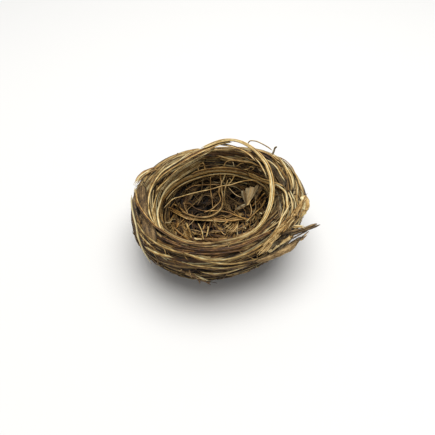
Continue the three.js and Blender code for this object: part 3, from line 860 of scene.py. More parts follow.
def rimRoute(rows, points):
    line = smoothLine(rows, points)
    angle = np.radians(line[:, 0])
    outward = np.stack([np.cos(angle), np.sin(angle), 0 * angle], -1)
    centre = outward * line[:, 1:2] + np.array([0, 0, 1]) * line[:, 2:3]
    return centre, unit(np.array([0, 0, 1]) + outward * lean)


def spaceRoute(rows, points, facing=(0, -0.5, 1)):
    line = smoothLine(rows, points)
    return line, unit(np.broadcast_to(np.array(facing, float), line.shape))


# name: look, width in millimetres, tone, route rows. Wall rows are angle, station, lift; rim rows are angle,
# radius, height.
rimBlades = {
    "hoop_left_blade": ("grass", 1.7, 0.57, [
        (186, 39.6, 38.4), (197, 39.6, 37.8), (206, 39, 37.3), (216, 38.5, 36.8), (224, 38.3, 36.8),
        (232, 38.1, 36.8), (241, 38.4, 36.8), (248, 38.8, 36.8), (255, 38.5, 36.8), (263, 37.8, 36.9),
        (271, 37.1, 37.1), (278, 36.6, 37.2)]),
    "hoop_right_blade": ("grass", 2.9, 0.85, [
        (266, 37.4, 37.9), (279, 36, 37.9), (291, 35.4, 37.8), (303, 33.6, 37.8), (313, 31.5, 37.8),
        (324, 29.6, 38), (337, 28, 38.1), (350, 27.1, 38.4), (361, 26.9, 38.8), (375, 27.3, 39.5),
        (388, 28.1, 40.2), (400, 28.8, 41), (415, 29.7, 42), (427, 30.3, 42.5), (437, 29.6, 42.8),
        (446, 28.0, 42.8), (457, 25.8, 42.4), (469, 24.0, 41.9)]),
    "hoop_back_blade": ("grass", 3.3, 0.62, [
        (75, 29.6, 42), (85, 27.6, 42), (98, 24.7, 41.5), (120, 22.6, 40.8), (142, 23.7, 39.5),
        (158, 26.5, 38.5), (168, 29, 37.9), (178, 30.9, 37.6)]),
    "hoop_pale_blade": ("grass", 1.0, 0.85, [
        (119, 24.3, 41.9), (141, 24.1, 40.6), (154, 26.2, 39.8), (163, 28.2, 39.3), (177, 30.4, 38.7),
        (187, 32.1, 38.3), (198, 33.9, 38), (205, 35.2, 37.8)]),
    "hoop_lower_blade": ("grass", 1.2, 0.78, [
        (91, 25.4, 40.4), (106, 22.2, 39.7), (122, 21.3, 38.9), (139, 21.6, 38.2), (154, 23.1, 37.5),
        (169, 24.9, 36.9), (179, 28, 36.2), (185, 29.9, 35.6)]),
    "hoop_inner_straw": ("grass", 0.8, 0.7, [
        (52, 26.1, 40), (39, 26.3, 39.2), (26, 25.6, 38.5), (10, 25, 38)]),
}
wallBlades = {
    "ring_middle_blade": ("grass", 2.6, 0.72, [
        (198, 0.599, 1.2), (184, 0.619, 1.2), (171, 0.637, 1.2), (157, 0.647, 1.2), (128, 0.652, 1.2),
        (95, 0.65, 1.2), (65, 0.651, 1.2), (37, 0.643, 1.2), (24, 0.617, 1.2), (12, 0.583, 1.2),
        (1, 0.547, 1.2)]),
    "ring_upper_blade": ("grass", 1.6, 0.50, [
        (124, 0.636, 1.8), (111, 0.632, 1.8), (95, 0.634, 1.8), (79, 0.634, 1.8), (65, 0.636, 1.8),
        (51, 0.639, 1.8)]),
    "ring_lower_blade": ("grass", 1.3, 0.88, [
        (172, 0.656, 1.6), (165, 0.662, 1.6), (148, 0.666, 1.6), (115, 0.670, 1.6), (77, 0.667, 1.6),
        (59, 0.672, 1.6), (44, 0.665, 1.6), (32, 0.658, 1.6), (19, 0.648, 1.6)]),
    "left_rim_inner_blade": ("grass", 1.1, 1.0, [
        (228, 0.515, 1.4), (222, 0.525, 1.8), (215, 0.540, 2.2), (207, 0.557, 2.4), (191, 0.593, 2.4),
        (176, 0.61, 2.4), (149, 0.621, 2.4), (136, 0.628, 2.4)]),
    "left_rim_middle_blade": ("grass", 0.9, 0.98, [
        (224, 0.513, 1.2), (220, 0.519, 1.5), (214, 0.527, 1.8), (204, 0.542, 1.8), (190, 0.566, 1.8),
        (176, 0.578, 1.8), (150, 0.585, 1.8), (123, 0.573, 1.8), (108, 0.558, 1.8), (95, 0.534, 1.8)]),
    "left_rim_outer_blade": ("grass", 0.8, 1.02, [
        (217, 0.519, 1.4), (210, 0.522, 1.7), (194, 0.535, 1.8), (173, 0.545, 1.8), (150, 0.546, 1.8),
        (126, 0.544, 1.8), (113, 0.531, 1.8)]),
    "left_bark_strip": ("bark", 4.3, 0.56, [
        (174, 0.504, 0.6), (185, 0.511, 0.6), (195, 0.516, 0.6), (206, 0.511, 0.6), (216, 0.498, 0.6),
        (224, 0.480, 0.7), (228, 0.468, 0.9)]),
    "left_edge_blade": ("grass", 1.2, 1.15, [
        (182, 0.471, 1.8), (192, 0.475, 1.8), (202, 0.474, 1.8), (210, 0.466, 1.8), (215, 0.444, 1.8),
        (220, 0.42, 1.6), (225, 0.388, 1.6), (228.5, 0.350, 2.2)]),
    "left_top_blade": ("grass", 1.1, 0.8, [
        (175, 0.484, 1.8), (186, 0.489, 1.8), (194, 0.497, 1.8), (200, 0.502, 1.8)]),
    "back_upper_blade": ("grass", 1.5, 0.6, [
        (128, 0.529, 1.2), (112, 0.537, 1.2), (97, 0.545, 1.2), (82, 0.548, 1.2), (67, 0.55, 1.2),
        (56, 0.556, 1.2)]),
    "back_lower_blade": ("grass", 1.2, 0.56, [
        (91, 0.568, 1.2), (78, 0.585, 1.2), (65, 0.588, 1.2), (54, 0.583, 1.2), (45, 0.587, 1.2)]),
    "right_dark_strip": ("bark", 2.8, 0.35, [
        (44, 0.54, 0.6), (36, 0.546, 0.6), (26, 0.552, 0.6), (16, 0.554, 0.6), (5, 0.545, 0.6)]),
    "right_thin_blade": ("grass", 0.8, 0.92, [
        (40, 0.544, 1.8), (33, 0.542, 1.8), (24, 0.541, 1.8), (15, 0.542, 1.8), (4, 0.531, 1.8)]),
    "right_tan_strip": ("grass", 2.0, 0.82, [
        (34, 0.5, 0.6), (27, 0.506, 0.6), (19, 0.511, 0.6), (10, 0.512, 0.6), (-2, 0.513, 0.6)]),
    "right_edge_blade": ("grass", 1.2, 0.84, [
        (36, 0.497, 1.2), (30, 0.489, 1.2), (22, 0.485, 1.2), (14, 0.489, 1.2), (4, 0.483, 1.2),
        (-2, 0.459, 1.2)]),
    "right_pale_blade": ("grass", 0.9, 0.9, [
        (7, 0.498, 1.8), (-1, 0.497, 1.8), (-11, 0.492, 1.8), (-18, 0.481, 1.8)]),
    "right_inner_blade": ("grass", 1.2, 0.95, [
        (15, 0.592, 1.8), (3, 0.557, 1.8), (-5, 0.535, 1.8), (-16, 0.518, 1.8), (-24, 0.501, 1.8),
        (-33, 0.495, 1.8)]),
    "right_grey_strip": ("bark", 2.4, 0.5, [
        (8, 0.608, 0.6), (-11, 0.571, 0.6), (-27, 0.52, 0.6), (-34, 0.493, 0.6)]),
    "right_slant_straw": ("grass", 0.8, 1.25, [
        (-19, 0.501, 3.0), (-27, 0.499, 3.2), (-36, 0.496, 3.3), (-42, 0.49, 3.2), (-46, 0.487, 3.0)]),
    "torn_strip_upper": ("grass", 2.6, 0.94, [
        (-5, 0.463, 2.8), (-13, 0.476, 2.8), (-20, 0.479, 2.8), (-26, 0.479, 2.8), (-33, 0.48, 2.8),
        (-39, 0.479, 2.8), (-44, 0.478, 2.8), (-49, 0.471, 2.8), (-54, 0.464, 2.8), (-58, 0.453, 2.8),
        (-64, 0.438, 2.8)]),
    "torn_strip_lower": ("grass", 1.4, 0.70, [
        (-14, 0.481, 2.6), (-24, 0.483, 2.6), (-32, 0.485, 2.6), (-40, 0.485, 2.6), (-47, 0.480, 2.6)]),
    "tail_sheath_upper": ("bark", 2.6, 0.72, [
        (-60, 0.434, 1.2), (-51, 0.433, 1.0), (-43, 0.43, 0.9), (-38, 0.428, 0.9)]),
    "front_bark_strip": ("grass", 3.0, 0.52, [
        (239, 0.48, 0.6), (249, 0.485, 0.6), (259, 0.487, 0.6), (269, 0.486, 0.6), (279, 0.484, 0.6),
        (290, 0.481, 0.6)]),
    "front_upper_blade": ("grass", 1.6, 0.55, [
        (229, 0.496, 1.2), (246, 0.495, 1.2), (265, 0.493, 1.2), (286, 0.488, 1.2), (304, 0.49, 1.2),
        (313, 0.485, 1.2)]),
    "front_long_blade": ("grass", 1.1, 0.94, [
        (251, 0.476, 2.4), (259, 0.467, 2.4), (267, 0.461, 2.4), (275, 0.457, 2.4), (288, 0.461, 2.4),
        (296, 0.465, 2.4), (307, 0.473, 2.4)]),
    "front_low_blade": ("grass", 0.9, 0.94, [
        (249, 0.477, 1.8), (257, 0.465, 1.8), (266, 0.449, 1.8), (278, 0.433, 1.8), (291, 0.424, 1.8),
        (299, 0.417, 1.8)]),
    "front_left_blade": ("grass", 1.1, 0.62, [
        (206, 0.472, 1.2), (215, 0.471, 1.2), (232, 0.473, 1.2), (241, 0.474, 1.2), (249, 0.473, 1.2)]),
    "front_left_short_blade": ("grass", 0.8, 0.95, [
        (216, 0.464, 2.4), (222, 0.458, 2.4), (232, 0.459, 2.4)]),
    "front_left_low_blade": ("grass", 1.3, 0.60, [
        (222, 0.428, 1.2), (229, 0.433, 1.2), (238, 0.444, 1.2), (244, 0.447, 1.2)]),
    "belly_upper_blade": ("grass", 1.4, 0.46, [
        (250, 0.436, 1.2), (257, 0.43, 1.2), (266, 0.422, 1.2), (275, 0.415, 1.2), (284, 0.408, 1.2),
        (293, 0.403, 1.2)]),
    "belly_lower_blade": ("grass", 1.6, 0.5, [
        (260, 0.402, 1.2), (268, 0.384, 1.2), (276, 0.387, 1.2), (284, 0.389, 1.2), (291, 0.387, 1.2)]),
    "belly_tuft_blade": ("grass", 2.2, 0.7, [
        (254, 0.404, 2.2), (258, 0.38, 2.2), (262, 0.357, 2.4), (266, 0.33, 2.8)]),
}
# name: look, width, tone, facing, rows of x, y, z
freeBlades = {
    "tail_sheath_lower": ("bark", 2.8, 0.73, (0.30, -0.60, 0.75), [
        (17.4, -39.6, 28.0), (22.6, -37.2, 27.2), (26.9, -34.6, 26.6), (30.8, -32.2, 26.2),
        (33.6, -30.3, 26.2), (36.1, -28.0, 26.4), (38.1, -26.1, 26.8), (39.7, -24.7, 27.2)]),
    "tail_flake": ("grass", 1.9, 0.95, (0.2, -0.5, 0.8), [
        (38.3, -28.2, 28.8), (39.9, -26.7, 29.2), (41.5, -25.5, 29.8), (42.9, -23.9, 30.4)]),
    "tail_stub": ("grass", 1.7, 0.98, (0.1, -0.5, 0.9), [
        (34.4, -23.7, 33.0), (36.6, -23.2, 33.0), (38.9, -23.2, 32.8), (41.2, -23.6, 32.4)]),
    "left_flake": ("grass", 1.8, 0.92, (-0.35, 0.1, 0.9), [
        (-32.2, 11.8, 36.9), (-35.8, 11.2, 36.1), (-39.4, 8.4, 34.9), (-41.6, 3.4, 34.2)]),
}
# name: look, width, tone, rows of x, y, z
stalks = {
    "tail_stem_upper": ("bark", 1.3, 0.50, [
        (29.0, -28.0, 32.4), (32.7, -25.8, 31.8), (35.1, -25.0, 31.6), (38.0, -24.1, 31.5),
        (40.9, -23.1, 31.4), (43.9, -21.5, 31.4), (47.0, -20.1, 31.4)]),
    "tail_stem_lower": ("bark", 1.0, 0.42, [
        (35.0, -26.4, 30.8), (38.0, -25.0, 30.8), (40.9, -23.8, 30.9), (43.9, -22.6, 31.0),
        (48.4, -20.5, 31.2)]),
    "tail_straw": ("bark", 0.6, 0.4, [
        (33.6, -28.2, 29.5), (36.5, -26.7, 29.8), (39.5, -24.9, 30.0), (42.3, -23.3, 30.2)]),
    "curling_tendril": ("root", 0.6, 0.8, [
        (16.4, 29.6, 39.6), (17.4, 29.6, 41.5), (20.5, 28.9, 42), (23.6, 27.6, 41.2), (26.7, 26, 40.2),
        (28.8, 24.9, 39)]),
    "curled_stub": ("bark", 1.1, 0.62, [
        (28.2, 23.6, 35.6), (29.4, 24.8, 36.8), (30.2, 26.2, 38.2), (30.6, 26.8, 39.2), (31.6, 27, 39.8)]),
    "crossing_straw": ("grass", 0.6, 0.75, [
        (-26.9, -3.3, 24.4), (-22.6, 2.5, 25), (-19, 4.3, 25), (-14.1, 7.5, 24), (-8.9, 9.4, 24),
        (-3.7, 10.9, 24), (2.7, 13.6, 24), (6.9, 14.4, 24), (12.3, 15.7, 25), (17.4, 15, 27),
        (21.3, 13.4, 28)]),
    "looping_rootlet": ("root", 1.0, 0.75, [
        (2.7, 17.2, 25), (2.1, 14.2, 22.5), (3.1, 10.9, 19), (2.8, 7.4, 15.6), (0.5, 5.1, 13),
        (-3.8, 3.3, 11.4), (-9.5, 2.8, 11.2), (-14.5, 3.6, 12.2), (-18.6, 4.2, 14.2)]),
    "thin_rootlet": ("root", 0.6, 0.8, [
        (5.8, 15, 27.2), (4.3, 11.5, 24), (4, 9.7, 20.5), (4.3, 7.9, 17), (5.2, 7.8, 13.5),
        (5.6, 8.4, 11.4)]),
    "floor_straw_left": ("grass", 0.7, 0.82, [
        (-10.1, -0.6, 10.2), (-7.9, -6.4, 10.4), (-7.3, -11, 11.6), (-6.8, -15.5, 14.6)]),
    "floor_straw_right": ("grass", 0.7, 0.85, [
        (-4.8, -2.2, 9.9), (-4.7, -4.8, 10.1), (-5.1, -9, 11.2), (-5.5, -13.4, 14)]),
}
# changes along single blades: shares of the width and of the light from one end to the other, and extra
# warmth of the colour
touches = {
    "hoop_left_blade": dict(
        widths=(1.0, 1.0, 0.8, 0.6, 0.4), shades=(1.1, 1.05, 0.85, 0.6, 0.35), warmth=0.3),
    "hoop_right_blade": dict(
        widths=(0.25, 0.45, 0.75, 0.95, 1.0, 1.1, 1.3, 1.35, 0.9),
        shades=(0.4, 0.8, 1.0, 1.0, 1.0, 1.0, 1.0, 1.0, 1.0), warmth=-0.1),
    "hoop_back_blade": dict(warmth=0.3),
    "ring_middle_blade": dict(shades=(0.7, 0.85, 1.0, 1.0, 1.0), warmth=0.4),
    "ring_upper_blade": dict(warmth=0.8),
    "ring_lower_blade": dict(widths=(0.5, 0.8, 1.0), shades=(0.7, 0.9, 1.0), warmth=0.3),
    "left_bark_strip": dict(
        widths=(0.75, 0.8, 0.9, 1.0, 1.0), shades=(0.6, 0.65, 0.8, 1.0, 1.0), warmth=0.9),
    "back_lower_blade": dict(warmth=0.8),
    "front_bark_strip": dict(warmth=0.8),
    "front_upper_blade": dict(warmth=0.8),
    "front_long_blade": dict(shades=(1.0, 0.85, 1.0)),
    "torn_strip_upper": dict(widths=(0.6, 0.6, 0.65, 0.7, 0.9, 1.3, 1.6, 1.4, 0.8), warmth=0.7),
    "torn_strip_lower": dict(warmth=1.0),
    "tail_sheath_lower": dict(widths=(0.45, 0.6, 0.75, 0.95, 1.0, 0.9, 0.6, 0.25), warmth=1.0),
    "tail_stem_upper": dict(warmth=0.7),
    "tail_stem_lower": dict(warmth=0.7),
    "tail_straw": dict(warmth=0.7),
    "leaf_fragment": dict(warmth=0.2),
    "husk_scrap": dict(warmth=-0.3),
}
roughPoints = 40  # steps in which a route is measured


# sum of the steps' lengths
def routeLength(line):
    return np.linalg.norm(np.diff(line, axis=0), axis=-1).sum()


# how many steps a strand on this route takes
def pointsAlong(route, detail):
    centre, face = route(roughPoints)
    return int(np.clip(routeLength(centre) / detail["stepLength"], *detail["steps"]))


# across the strand: the cross product of the way along it and the way that it faces
def sideOf(centre, face):
    return unit(np.cross(unit(np.gradient(centre, axis=0)), face))


# quick rise from nothing at one end and slow fall at the other, as square roots of the share of the way
def roundedEnds(t, detail):
    return (np.clip(t / detail["startShare"], 0, 1) ** 0.5
            * np.clip((1 - t) / detail["endShare"], 0, 1) ** 0.5)


def camelName(node):
    first, *rest = node.split("_")
    return first + "".join(word.capitalize() for word in rest)


bladeDetail = {
    "strandWidth": 0.9, "corners": 8, "stepLength": 1.0, "steps": (14, 150), "thick": 0.42, "overlap": 1.0,
    "spread": 0.86, "wanderAcross": 0.13, "wanderOut": 0.16, "wanderWaves": 5, "outScatter": 0.08,
    "lateStart": 1.2, "earlyEnd": 2.2, "startLength": 1.5, "endLength": 3.0, "leastWidth": 0.06,
    "taperPower": 0.6, "uneven": 0.10, "unevenWaves": 12, "endThick": 0.4, "fold": (-0.12, 0.12),
    "twist": 0.22, "twistWaves": 4, "toneSpread": 0.28,
}
hoopDetail = {
    **bladeDetail, "strandWidth": 0.95, "wanderAcross": 0.07, "wanderOut": 0.10, "toneSpread": 0.26,
}
tornDetail = {
    **bladeDetail, "strandWidth": 0.7, "overlap": 1.2, "wanderAcross": 0.22, "toneSpread": 0.16,
}


# a broad blade is a few narrow ones side by side, each wandering a little across and out, and ending on its
# own
def bladeParts(rng, route, width, tone, detail, touch):
    points = pointsAlong(route, detail)
    centre, face = route(points)
    side = sideOf(centre, face)
    count = max(1, int(round(width / detail["strandWidth"])))
    place = ((np.arange(count) + 0.5) / count - 0.5) * width * detail["spread"]
    across = place[:, None] + detail["wanderAcross"] * wander(rng, count, points, detail["wanderWaves"])
    out = (detail["wanderOut"] * wander(rng, count, points, detail["wanderWaves"])
           + rng.uniform(-detail["outScatter"], detail["outScatter"], (count, 1)))
    share, light = (alongStrand(touch.get(key, (1.0, 1.0)), points) for key in ("widths", "shades"))
    across = across * share
    centres = centre[None] + side[None] * across[..., None] + face[None] * out[..., None]
    length = routeLength(centre)
    reached = np.linspace(0, length, points)[None]
    begin = rng.uniform(0, detail["lateStart"], (count, 1))
    finish = length - rng.uniform(0, detail["earlyEnd"], (count, 1))
    kept = (np.clip((reached - begin) / detail["startLength"], 0, 1)
            * np.clip((finish - reached) / detail["endLength"], 0, 1))
    tapered = detail["leastWidth"] + (1 - detail["leastWidth"]) * kept ** detail["taperPower"]
    uneven = 1 + detail["uneven"] * wander(rng, count, points, detail["unevenWaves"])
    widths = width / count * detail["overlap"] * share * tapered * uneven
    thick = detail["thick"] * (detail["endThick"] + (1 - detail["endThick"]) * kept)
    fold = rng.normal(*detail["fold"], (count, 1)) * np.ones((1, points))
    twist = detail["twist"] * wander(rng, count, points, detail["twistWaves"])
    faces = np.broadcast_to(face, centres.shape)
    shape, offset, rim = strandShape(centres, faces, widths, thick, detail["corners"], fold=fold,
                                     twist=twist)
    tones = tone + rng.uniform(-1, 1, count) * detail["toneSpread"]
    shade = np.ones((count, 1, 1)) * light[None, :, None] * rim
    return [strandPart(shape, offset, tones, shade, touch.get("warmth", 0.0))]


barkDetail = {
    "corners": 18, "stepLength": 0.6, "steps": (20, 160), "thick": 0.32, "ribs": 7, "ribHeight": 0.09,
    "startShare": 0.05, "endShare": 0.08, "leastWidth": 0.15, "ragged": 0.16, "raggedWaves": 24,
    "fold": 0.10, "foldWaves": 3, "droop": 0.05, "twist": 0.1, "twistWaves": 3, "edgeDark": 0.25,
    "fibrePlaces": (-0.5, 0.48), "fibreWander": 0.12, "fibreWaves": 6, "fibreLift": 0.2, "fibreWidth": 0.4,
    "fibreThick": 0.3, "fibreCorners": 5, "fibreTones": (-0.2, 0.15),
}


# a bark strip is one wide ribbed sheet with ragged edges, and two loose fibres along it
def barkParts(rng, route, width, tone, detail, touch):
    points = pointsAlong(route, detail)
    centre, face = route(points)
    ends = roundedEnds(np.linspace(0, 1, points)[None], detail)
    tapered = detail["leastWidth"] + (1 - detail["leastWidth"]) * ends
    ragged = 1 + detail["ragged"] * wander(rng, 1, points, detail["raggedWaves"])
    widths = width * tapered * ragged * alongStrand(touch.get("widths", (1.0, 1.0)), points)
    fold = detail["fold"] * wander(rng, 1, points, detail["foldWaves"]) - detail["droop"]
    twist = detail["twist"] * wander(rng, 1, points, detail["twistWaves"])
    thick = np.full((1, points), detail["thick"])
    shape, offset, rim = strandShape(centre[None], face[None], widths, thick, detail["corners"], fold=fold,
                                     ribs=detail["ribs"], ribHeight=detail["ribHeight"], twist=twist,
                                     edgeDark=detail["edgeDark"])
    light = alongStrand(touch.get("shades", (1.0, 1.0)), points)[None, :, None]
    sheet = strandPart(shape, offset, np.array([tone]), light * rim, touch.get("warmth", 0.0))

    count = len(detail["fibrePlaces"])
    waver = 1 + detail["fibreWander"] * wander(rng, count, points, detail["fibreWaves"])
    edge = np.array(detail["fibrePlaces"])[:, None] * widths * waver
    fibres = (centre[None] + sideOf(centre, face)[None] * edge[..., None]
              + face[None] * detail["fibreLift"])
    faces = np.broadcast_to(face, fibres.shape)
    shape, offset, rim = strandShape(fibres, faces, np.full((count, points), detail["fibreWidth"]),
                                     np.full((count, points), detail["fibreThick"]), detail["fibreCorners"],
                                     isRound=True)
    shade = np.ones((count, points, 1)) * rim
    loose = strandPart(shape, offset, tone + np.array(detail["fibreTones"]), shade)
    return [sheet, loose]


stalkDetail = {
    "corners": 9, "stepLength": 0.7, "steps": (14, 120), "wobble": 0.12, "wobbleWaves": 9,
    "startShare": 0.04, "endShare": 0.12, "leastWidth": 0.25, "knots": 3.3, "knotSwell": 0.18,
    "knotLength": 0.05, "uneven": 0.08, "unevenWaves": 14,
}


# a round stalk or rootlet with swellings where leaves once grew
def stalkParts(rng, route, width, tone, detail, touch):
    points = pointsAlong(route, detail)
    centre, face = route(points)
    wobble = wander(rng, 1, points, detail["wobbleWaves"])[0]
    centre = centre + face * detail["wobble"] * wobble[:, None]
    t = np.linspace(0, 1, points)[None]
    tapered = detail["leastWidth"] + (1 - detail["leastWidth"]) * roundedEnds(t, detail)
    knots = 1 + detail["knotSwell"] * np.exp(-((t * detail["knots"] % 1 - 0.5) / detail["knotLength"]) ** 2)
    uneven = 1 + detail["uneven"] * wander(rng, 1, points, detail["unevenWaves"])
    widths = width * tapered * knots * uneven
    shape, offset, rim = strandShape(centre[None], face[None], widths, widths, detail["corners"],
                                     isRound=True)
    shade = np.ones((1, points, 1)) * rim
    return [strandPart(shape, offset, np.array([tone]), shade, touch.get("warmth", 0.0))]


shredDetail = {
    "routeSteps": 60, "startRange": (2, 56), "points": 9, "corners": 6, "thick": 0.25, "raised": (0.1, 0.6),
    "bow": 0.4, "curlUp": 0.7, "butt": 0.1, "tip": 0.4, "twist": 0.5, "twistWaves": 3,
}


# short torn fibres strewn along a route, each turned a little away from it and bent outward at its end
def shredParts(rng, route, shreds, detail, touch):
    line, face = route(detail["routeSteps"])
    count, points = shreds["count"], detail["points"]
    start = rng.integers(*detail["startRange"], count)
    forward = unit(np.gradient(line, axis=0))[start]
    up = face[start]
    side = unit(np.cross(forward, up))
    turn = rng.normal(0, shreds["turn"], (count, 1))
    forward = forward * np.cos(turn) + side * np.sin(turn)
    length = rng.uniform(*shreds["length"], (count, 1, 1))
    t = np.linspace(-0.5, 0.5, points)[None, :, None]
    away = side * rng.uniform(-0.5, 0.5, (count, 1)) * shreds["spread"]
    away = away + up * rng.uniform(*detail["raised"], (count, 1))
    centre = (line[start] + away)[:, None] + forward[:, None] * t * length
    centre = centre + side[:, None] * rng.normal(0, detail["bow"], (count, 1, 1)) * t * t * 4
    centre = centre + up[:, None] * rng.uniform(0, detail["curlUp"], (count, 1, 1)) * (t + 0.5) ** 2
    widths = rng.uniform(*shreds["width"], (count, 1))
    widths = widths * taper(rng, count, points, detail["butt"], detail["tip"])
    faces = np.broadcast_to(up[:, None], centre.shape)
    thick = np.full((count, points), detail["thick"])
    twist = detail["twist"] * wander(rng, count, points, detail["twistWaves"])
    shape, offset, rim = strandShape(centre, faces, widths, thick, detail["corners"], twist=twist)
    tones = rng.uniform(*shreds["tone"], count)
    return [strandPart(shape, offset, tones, np.ones((count, points, 1)) * rim, touch.get("warmth", 0.0))]


shredded = {
    "torn_strip_upper": dict(
        count=36, turn=0.16, length=(4, 11), spread=3.0, width=(0.3, 0.8), tone=(0.55, 1.1)),
    "torn_strip_lower": dict(
        count=10, turn=0.2, length=(4, 10), spread=2.6, width=(0.4, 0.9), tone=(0.5, 0.9)),
    "tail_sheath_upper": dict(
        count=10, turn=0.15, length=(5, 12), spread=3.0, width=(0.4, 1.0), tone=(0.3, 0.8)),
    "belly_tuft_blade": dict(
        count=12, turn=0.5, length=(3, 8), spread=2.6, width=(0.5, 1.2), tone=(0.3, 0.7)),
}


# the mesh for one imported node, in place of it
def addNamed(node, parts, look):
    material, slot = looks[look]
    piece = strandMesh(camelName(node), parts, material)
    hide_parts(node)


def detailFor(node):
    if node.startswith("hoop"):
        return hoopDetail
    return tornDetail if node.startswith("torn") else bladeDetail


for node, (look, width, tone, rows) in {**rimBlades, **wallBlades}.items():
    route = partial(rimRoute if node in rimBlades else wallRoute, rows)
    touch = touches.get(node, {})
    if look == "bark":
        parts = barkParts(rng, route, width, tone, barkDetail, touch)
    else:
        parts = bladeParts(rng, route, width, tone, detailFor(node), touch)
    if node in shredded:
        parts += shredParts(rng, route, shredded[node], shredDetail, touch)
    addNamed(node, parts, look)
for node, (look, width, tone, facing, rows) in freeBlades.items():
    route = partial(spaceRoute, rows, facing=facing)
    make, detail = (barkParts, barkDetail) if look == "bark" else (bladeParts, bladeDetail)
    addNamed(node, make(rng, route, width, tone, detail, touches.get(node, {})), look)
for node, (look, width, tone, rows) in stalks.items():
    route = partial(spaceRoute, rows)
    addNamed(node, stalkParts(rng, route, width, tone, stalkDetail, touches.get(node, {})), look)
print("named blades and stalks made")

# fans of thin blades side by side between two edges on the rim, each given as rows of angle, station, lift
fans = {
    "leftRimFan": dict(
        count=7, points=60, width=(0.35, 0.75), tone=(0.65, 1.3), stagger=0.12, waver=0.2,
        low=[(174, 0.533, 1.0), (184, 0.545, 1.0), (197, 0.544, 1.0), (206, 0.537, 1.0),
             (215, 0.528, 0.9), (224, 0.519, 0.7)],
        high=[(151, 0.614, 1.2), (168, 0.622, 1.2), (184, 0.615, 1.2), (199, 0.593, 1.2), (215, 0.558, 1.0),
              (227, 0.529, 0.7)]),
    "rightRimFan": dict(
        count=6, points=50, width=(0.4, 1.0), tone=(0.35, 1.1), stagger=0.2, waver=0.2,
        low=[(8, 0.572, 1.0), (-6, 0.554, 1.0), (-20, 0.528, 1.2), (-31, 0.507, 1.4), (-40, 0.491, 1.5),
             (-50, 0.482, 1.2)],
        high=[(2, 0.517, 1.0), (-8, 0.495, 1.2), (-15, 0.476, 1.6), (-22, 0.468, 1.8), (-30, 0.468, 1.8),
              (-40, 0.468, 1.5)]),
    "backLeftFan": dict(
        count=8, points=60, width=(0.5, 1.0), tone=(0.45, 1.1), stagger=0.15, waver=0.3,
        low=[(100, 0.55, 0.6), (120, 0.575, 0.8), (140, 0.59, 0.9), (160, 0.595, 1.0), (176, 0.59, 1.0)],
        high=[(104, 0.61, 0.6), (120, 0.625, 0.8), (138, 0.635, 0.9), (156, 0.64, 1.0), (172, 0.635, 1.0)]),
    "backRimFan": dict(
        count=6, points=50, width=(0.7, 1.4), tone=(0.25, 0.85), warmth=0.9, stagger=0.25, waver=0.3,
        low=[(122, 0.532, -0.2), (105, 0.528, -0.9), (88, 0.526, -1.3), (70, 0.528, -1.0),
             (52, 0.535, -0.3)],
        high=[(118, 0.568, 0.2), (103, 0.572, -0.2), (86, 0.574, -0.4), (68, 0.572, -0.3),
              (50, 0.566, 0.2)]),
    "backLeftOuterFan": dict(
        count=5, points=60, width=(0.6, 1.3), tone=(0.3, 0.95), stagger=0.2, waver=0.5,
        low=[(98, 0.490, -0.9), (118, 0.480, -0.6), (138, 0.476, -0.5), (158, 0.482, -0.3),
             (174, 0.492, 0.0)],
        high=[(92, 0.530, -0.9), (112, 0.530, -0.6), (132, 0.528, -0.2), (152, 0.530, 0.0),
              (170, 0.525, 0.2)]),
}


fanDetail = {
    "corners": 7, "thick": 0.4, "wanderWaves": 4, "liftWander": 0.25, "butt": 0.02, "tip": 0.15,
    "fold": (-0.1, 0.12), "twist": 0.25, "twistWaves": 3,
}


# each blade runs at its own share of the way from the low edge to the high one, wavering about it
def fanParts(rng, fan, detail):
    count, points = fan["count"], fan["points"]
    begin, finish = rng.uniform(0, fan["stagger"], (2, count, 1))
    along = begin + (1 - begin - finish) * np.linspace(0, 1, points)
    waver = fan["waver"] * wander(rng, count, points, detail["wanderWaves"])
    share = (((np.arange(count) + 0.5)[:, None] + waver) / count)[..., None]
    line = smoothAt(fan["low"], along) * (1 - share) + smoothAt(fan["high"], along) * share
    lift = line[..., 2] + detail["liftWander"] * wander(rng, count, points, detail["wanderWaves"])
    centre, face = overWall(np.radians(line[..., 0]), line[..., 1], lift)
    widths = rng.uniform(*fan["width"], (count, 1))
    widths = widths * taper(rng, count, points, detail["butt"], detail["tip"])
    thick = np.full((count, points), detail["thick"])
    fold = rng.normal(*detail["fold"], (count, 1))
    twist = detail["twist"] * wander(rng, count, points, detail["twistWaves"])
    shape, offset, rim = strandShape(centre, face, widths, thick, detail["corners"], fold=fold, twist=twist)
    tones = rng.uniform(*fan["tone"], count)
    return [strandPart(shape, offset, tones, np.ones((count, points, 1)) * rim, fan.get("warmth", 0.0))]


for name, fan in fans.items():
    piece = strandMesh(name, fanParts(rng, fan, fanDetail), grass)
    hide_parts("woven_wall")
print("fans of thin blades made")

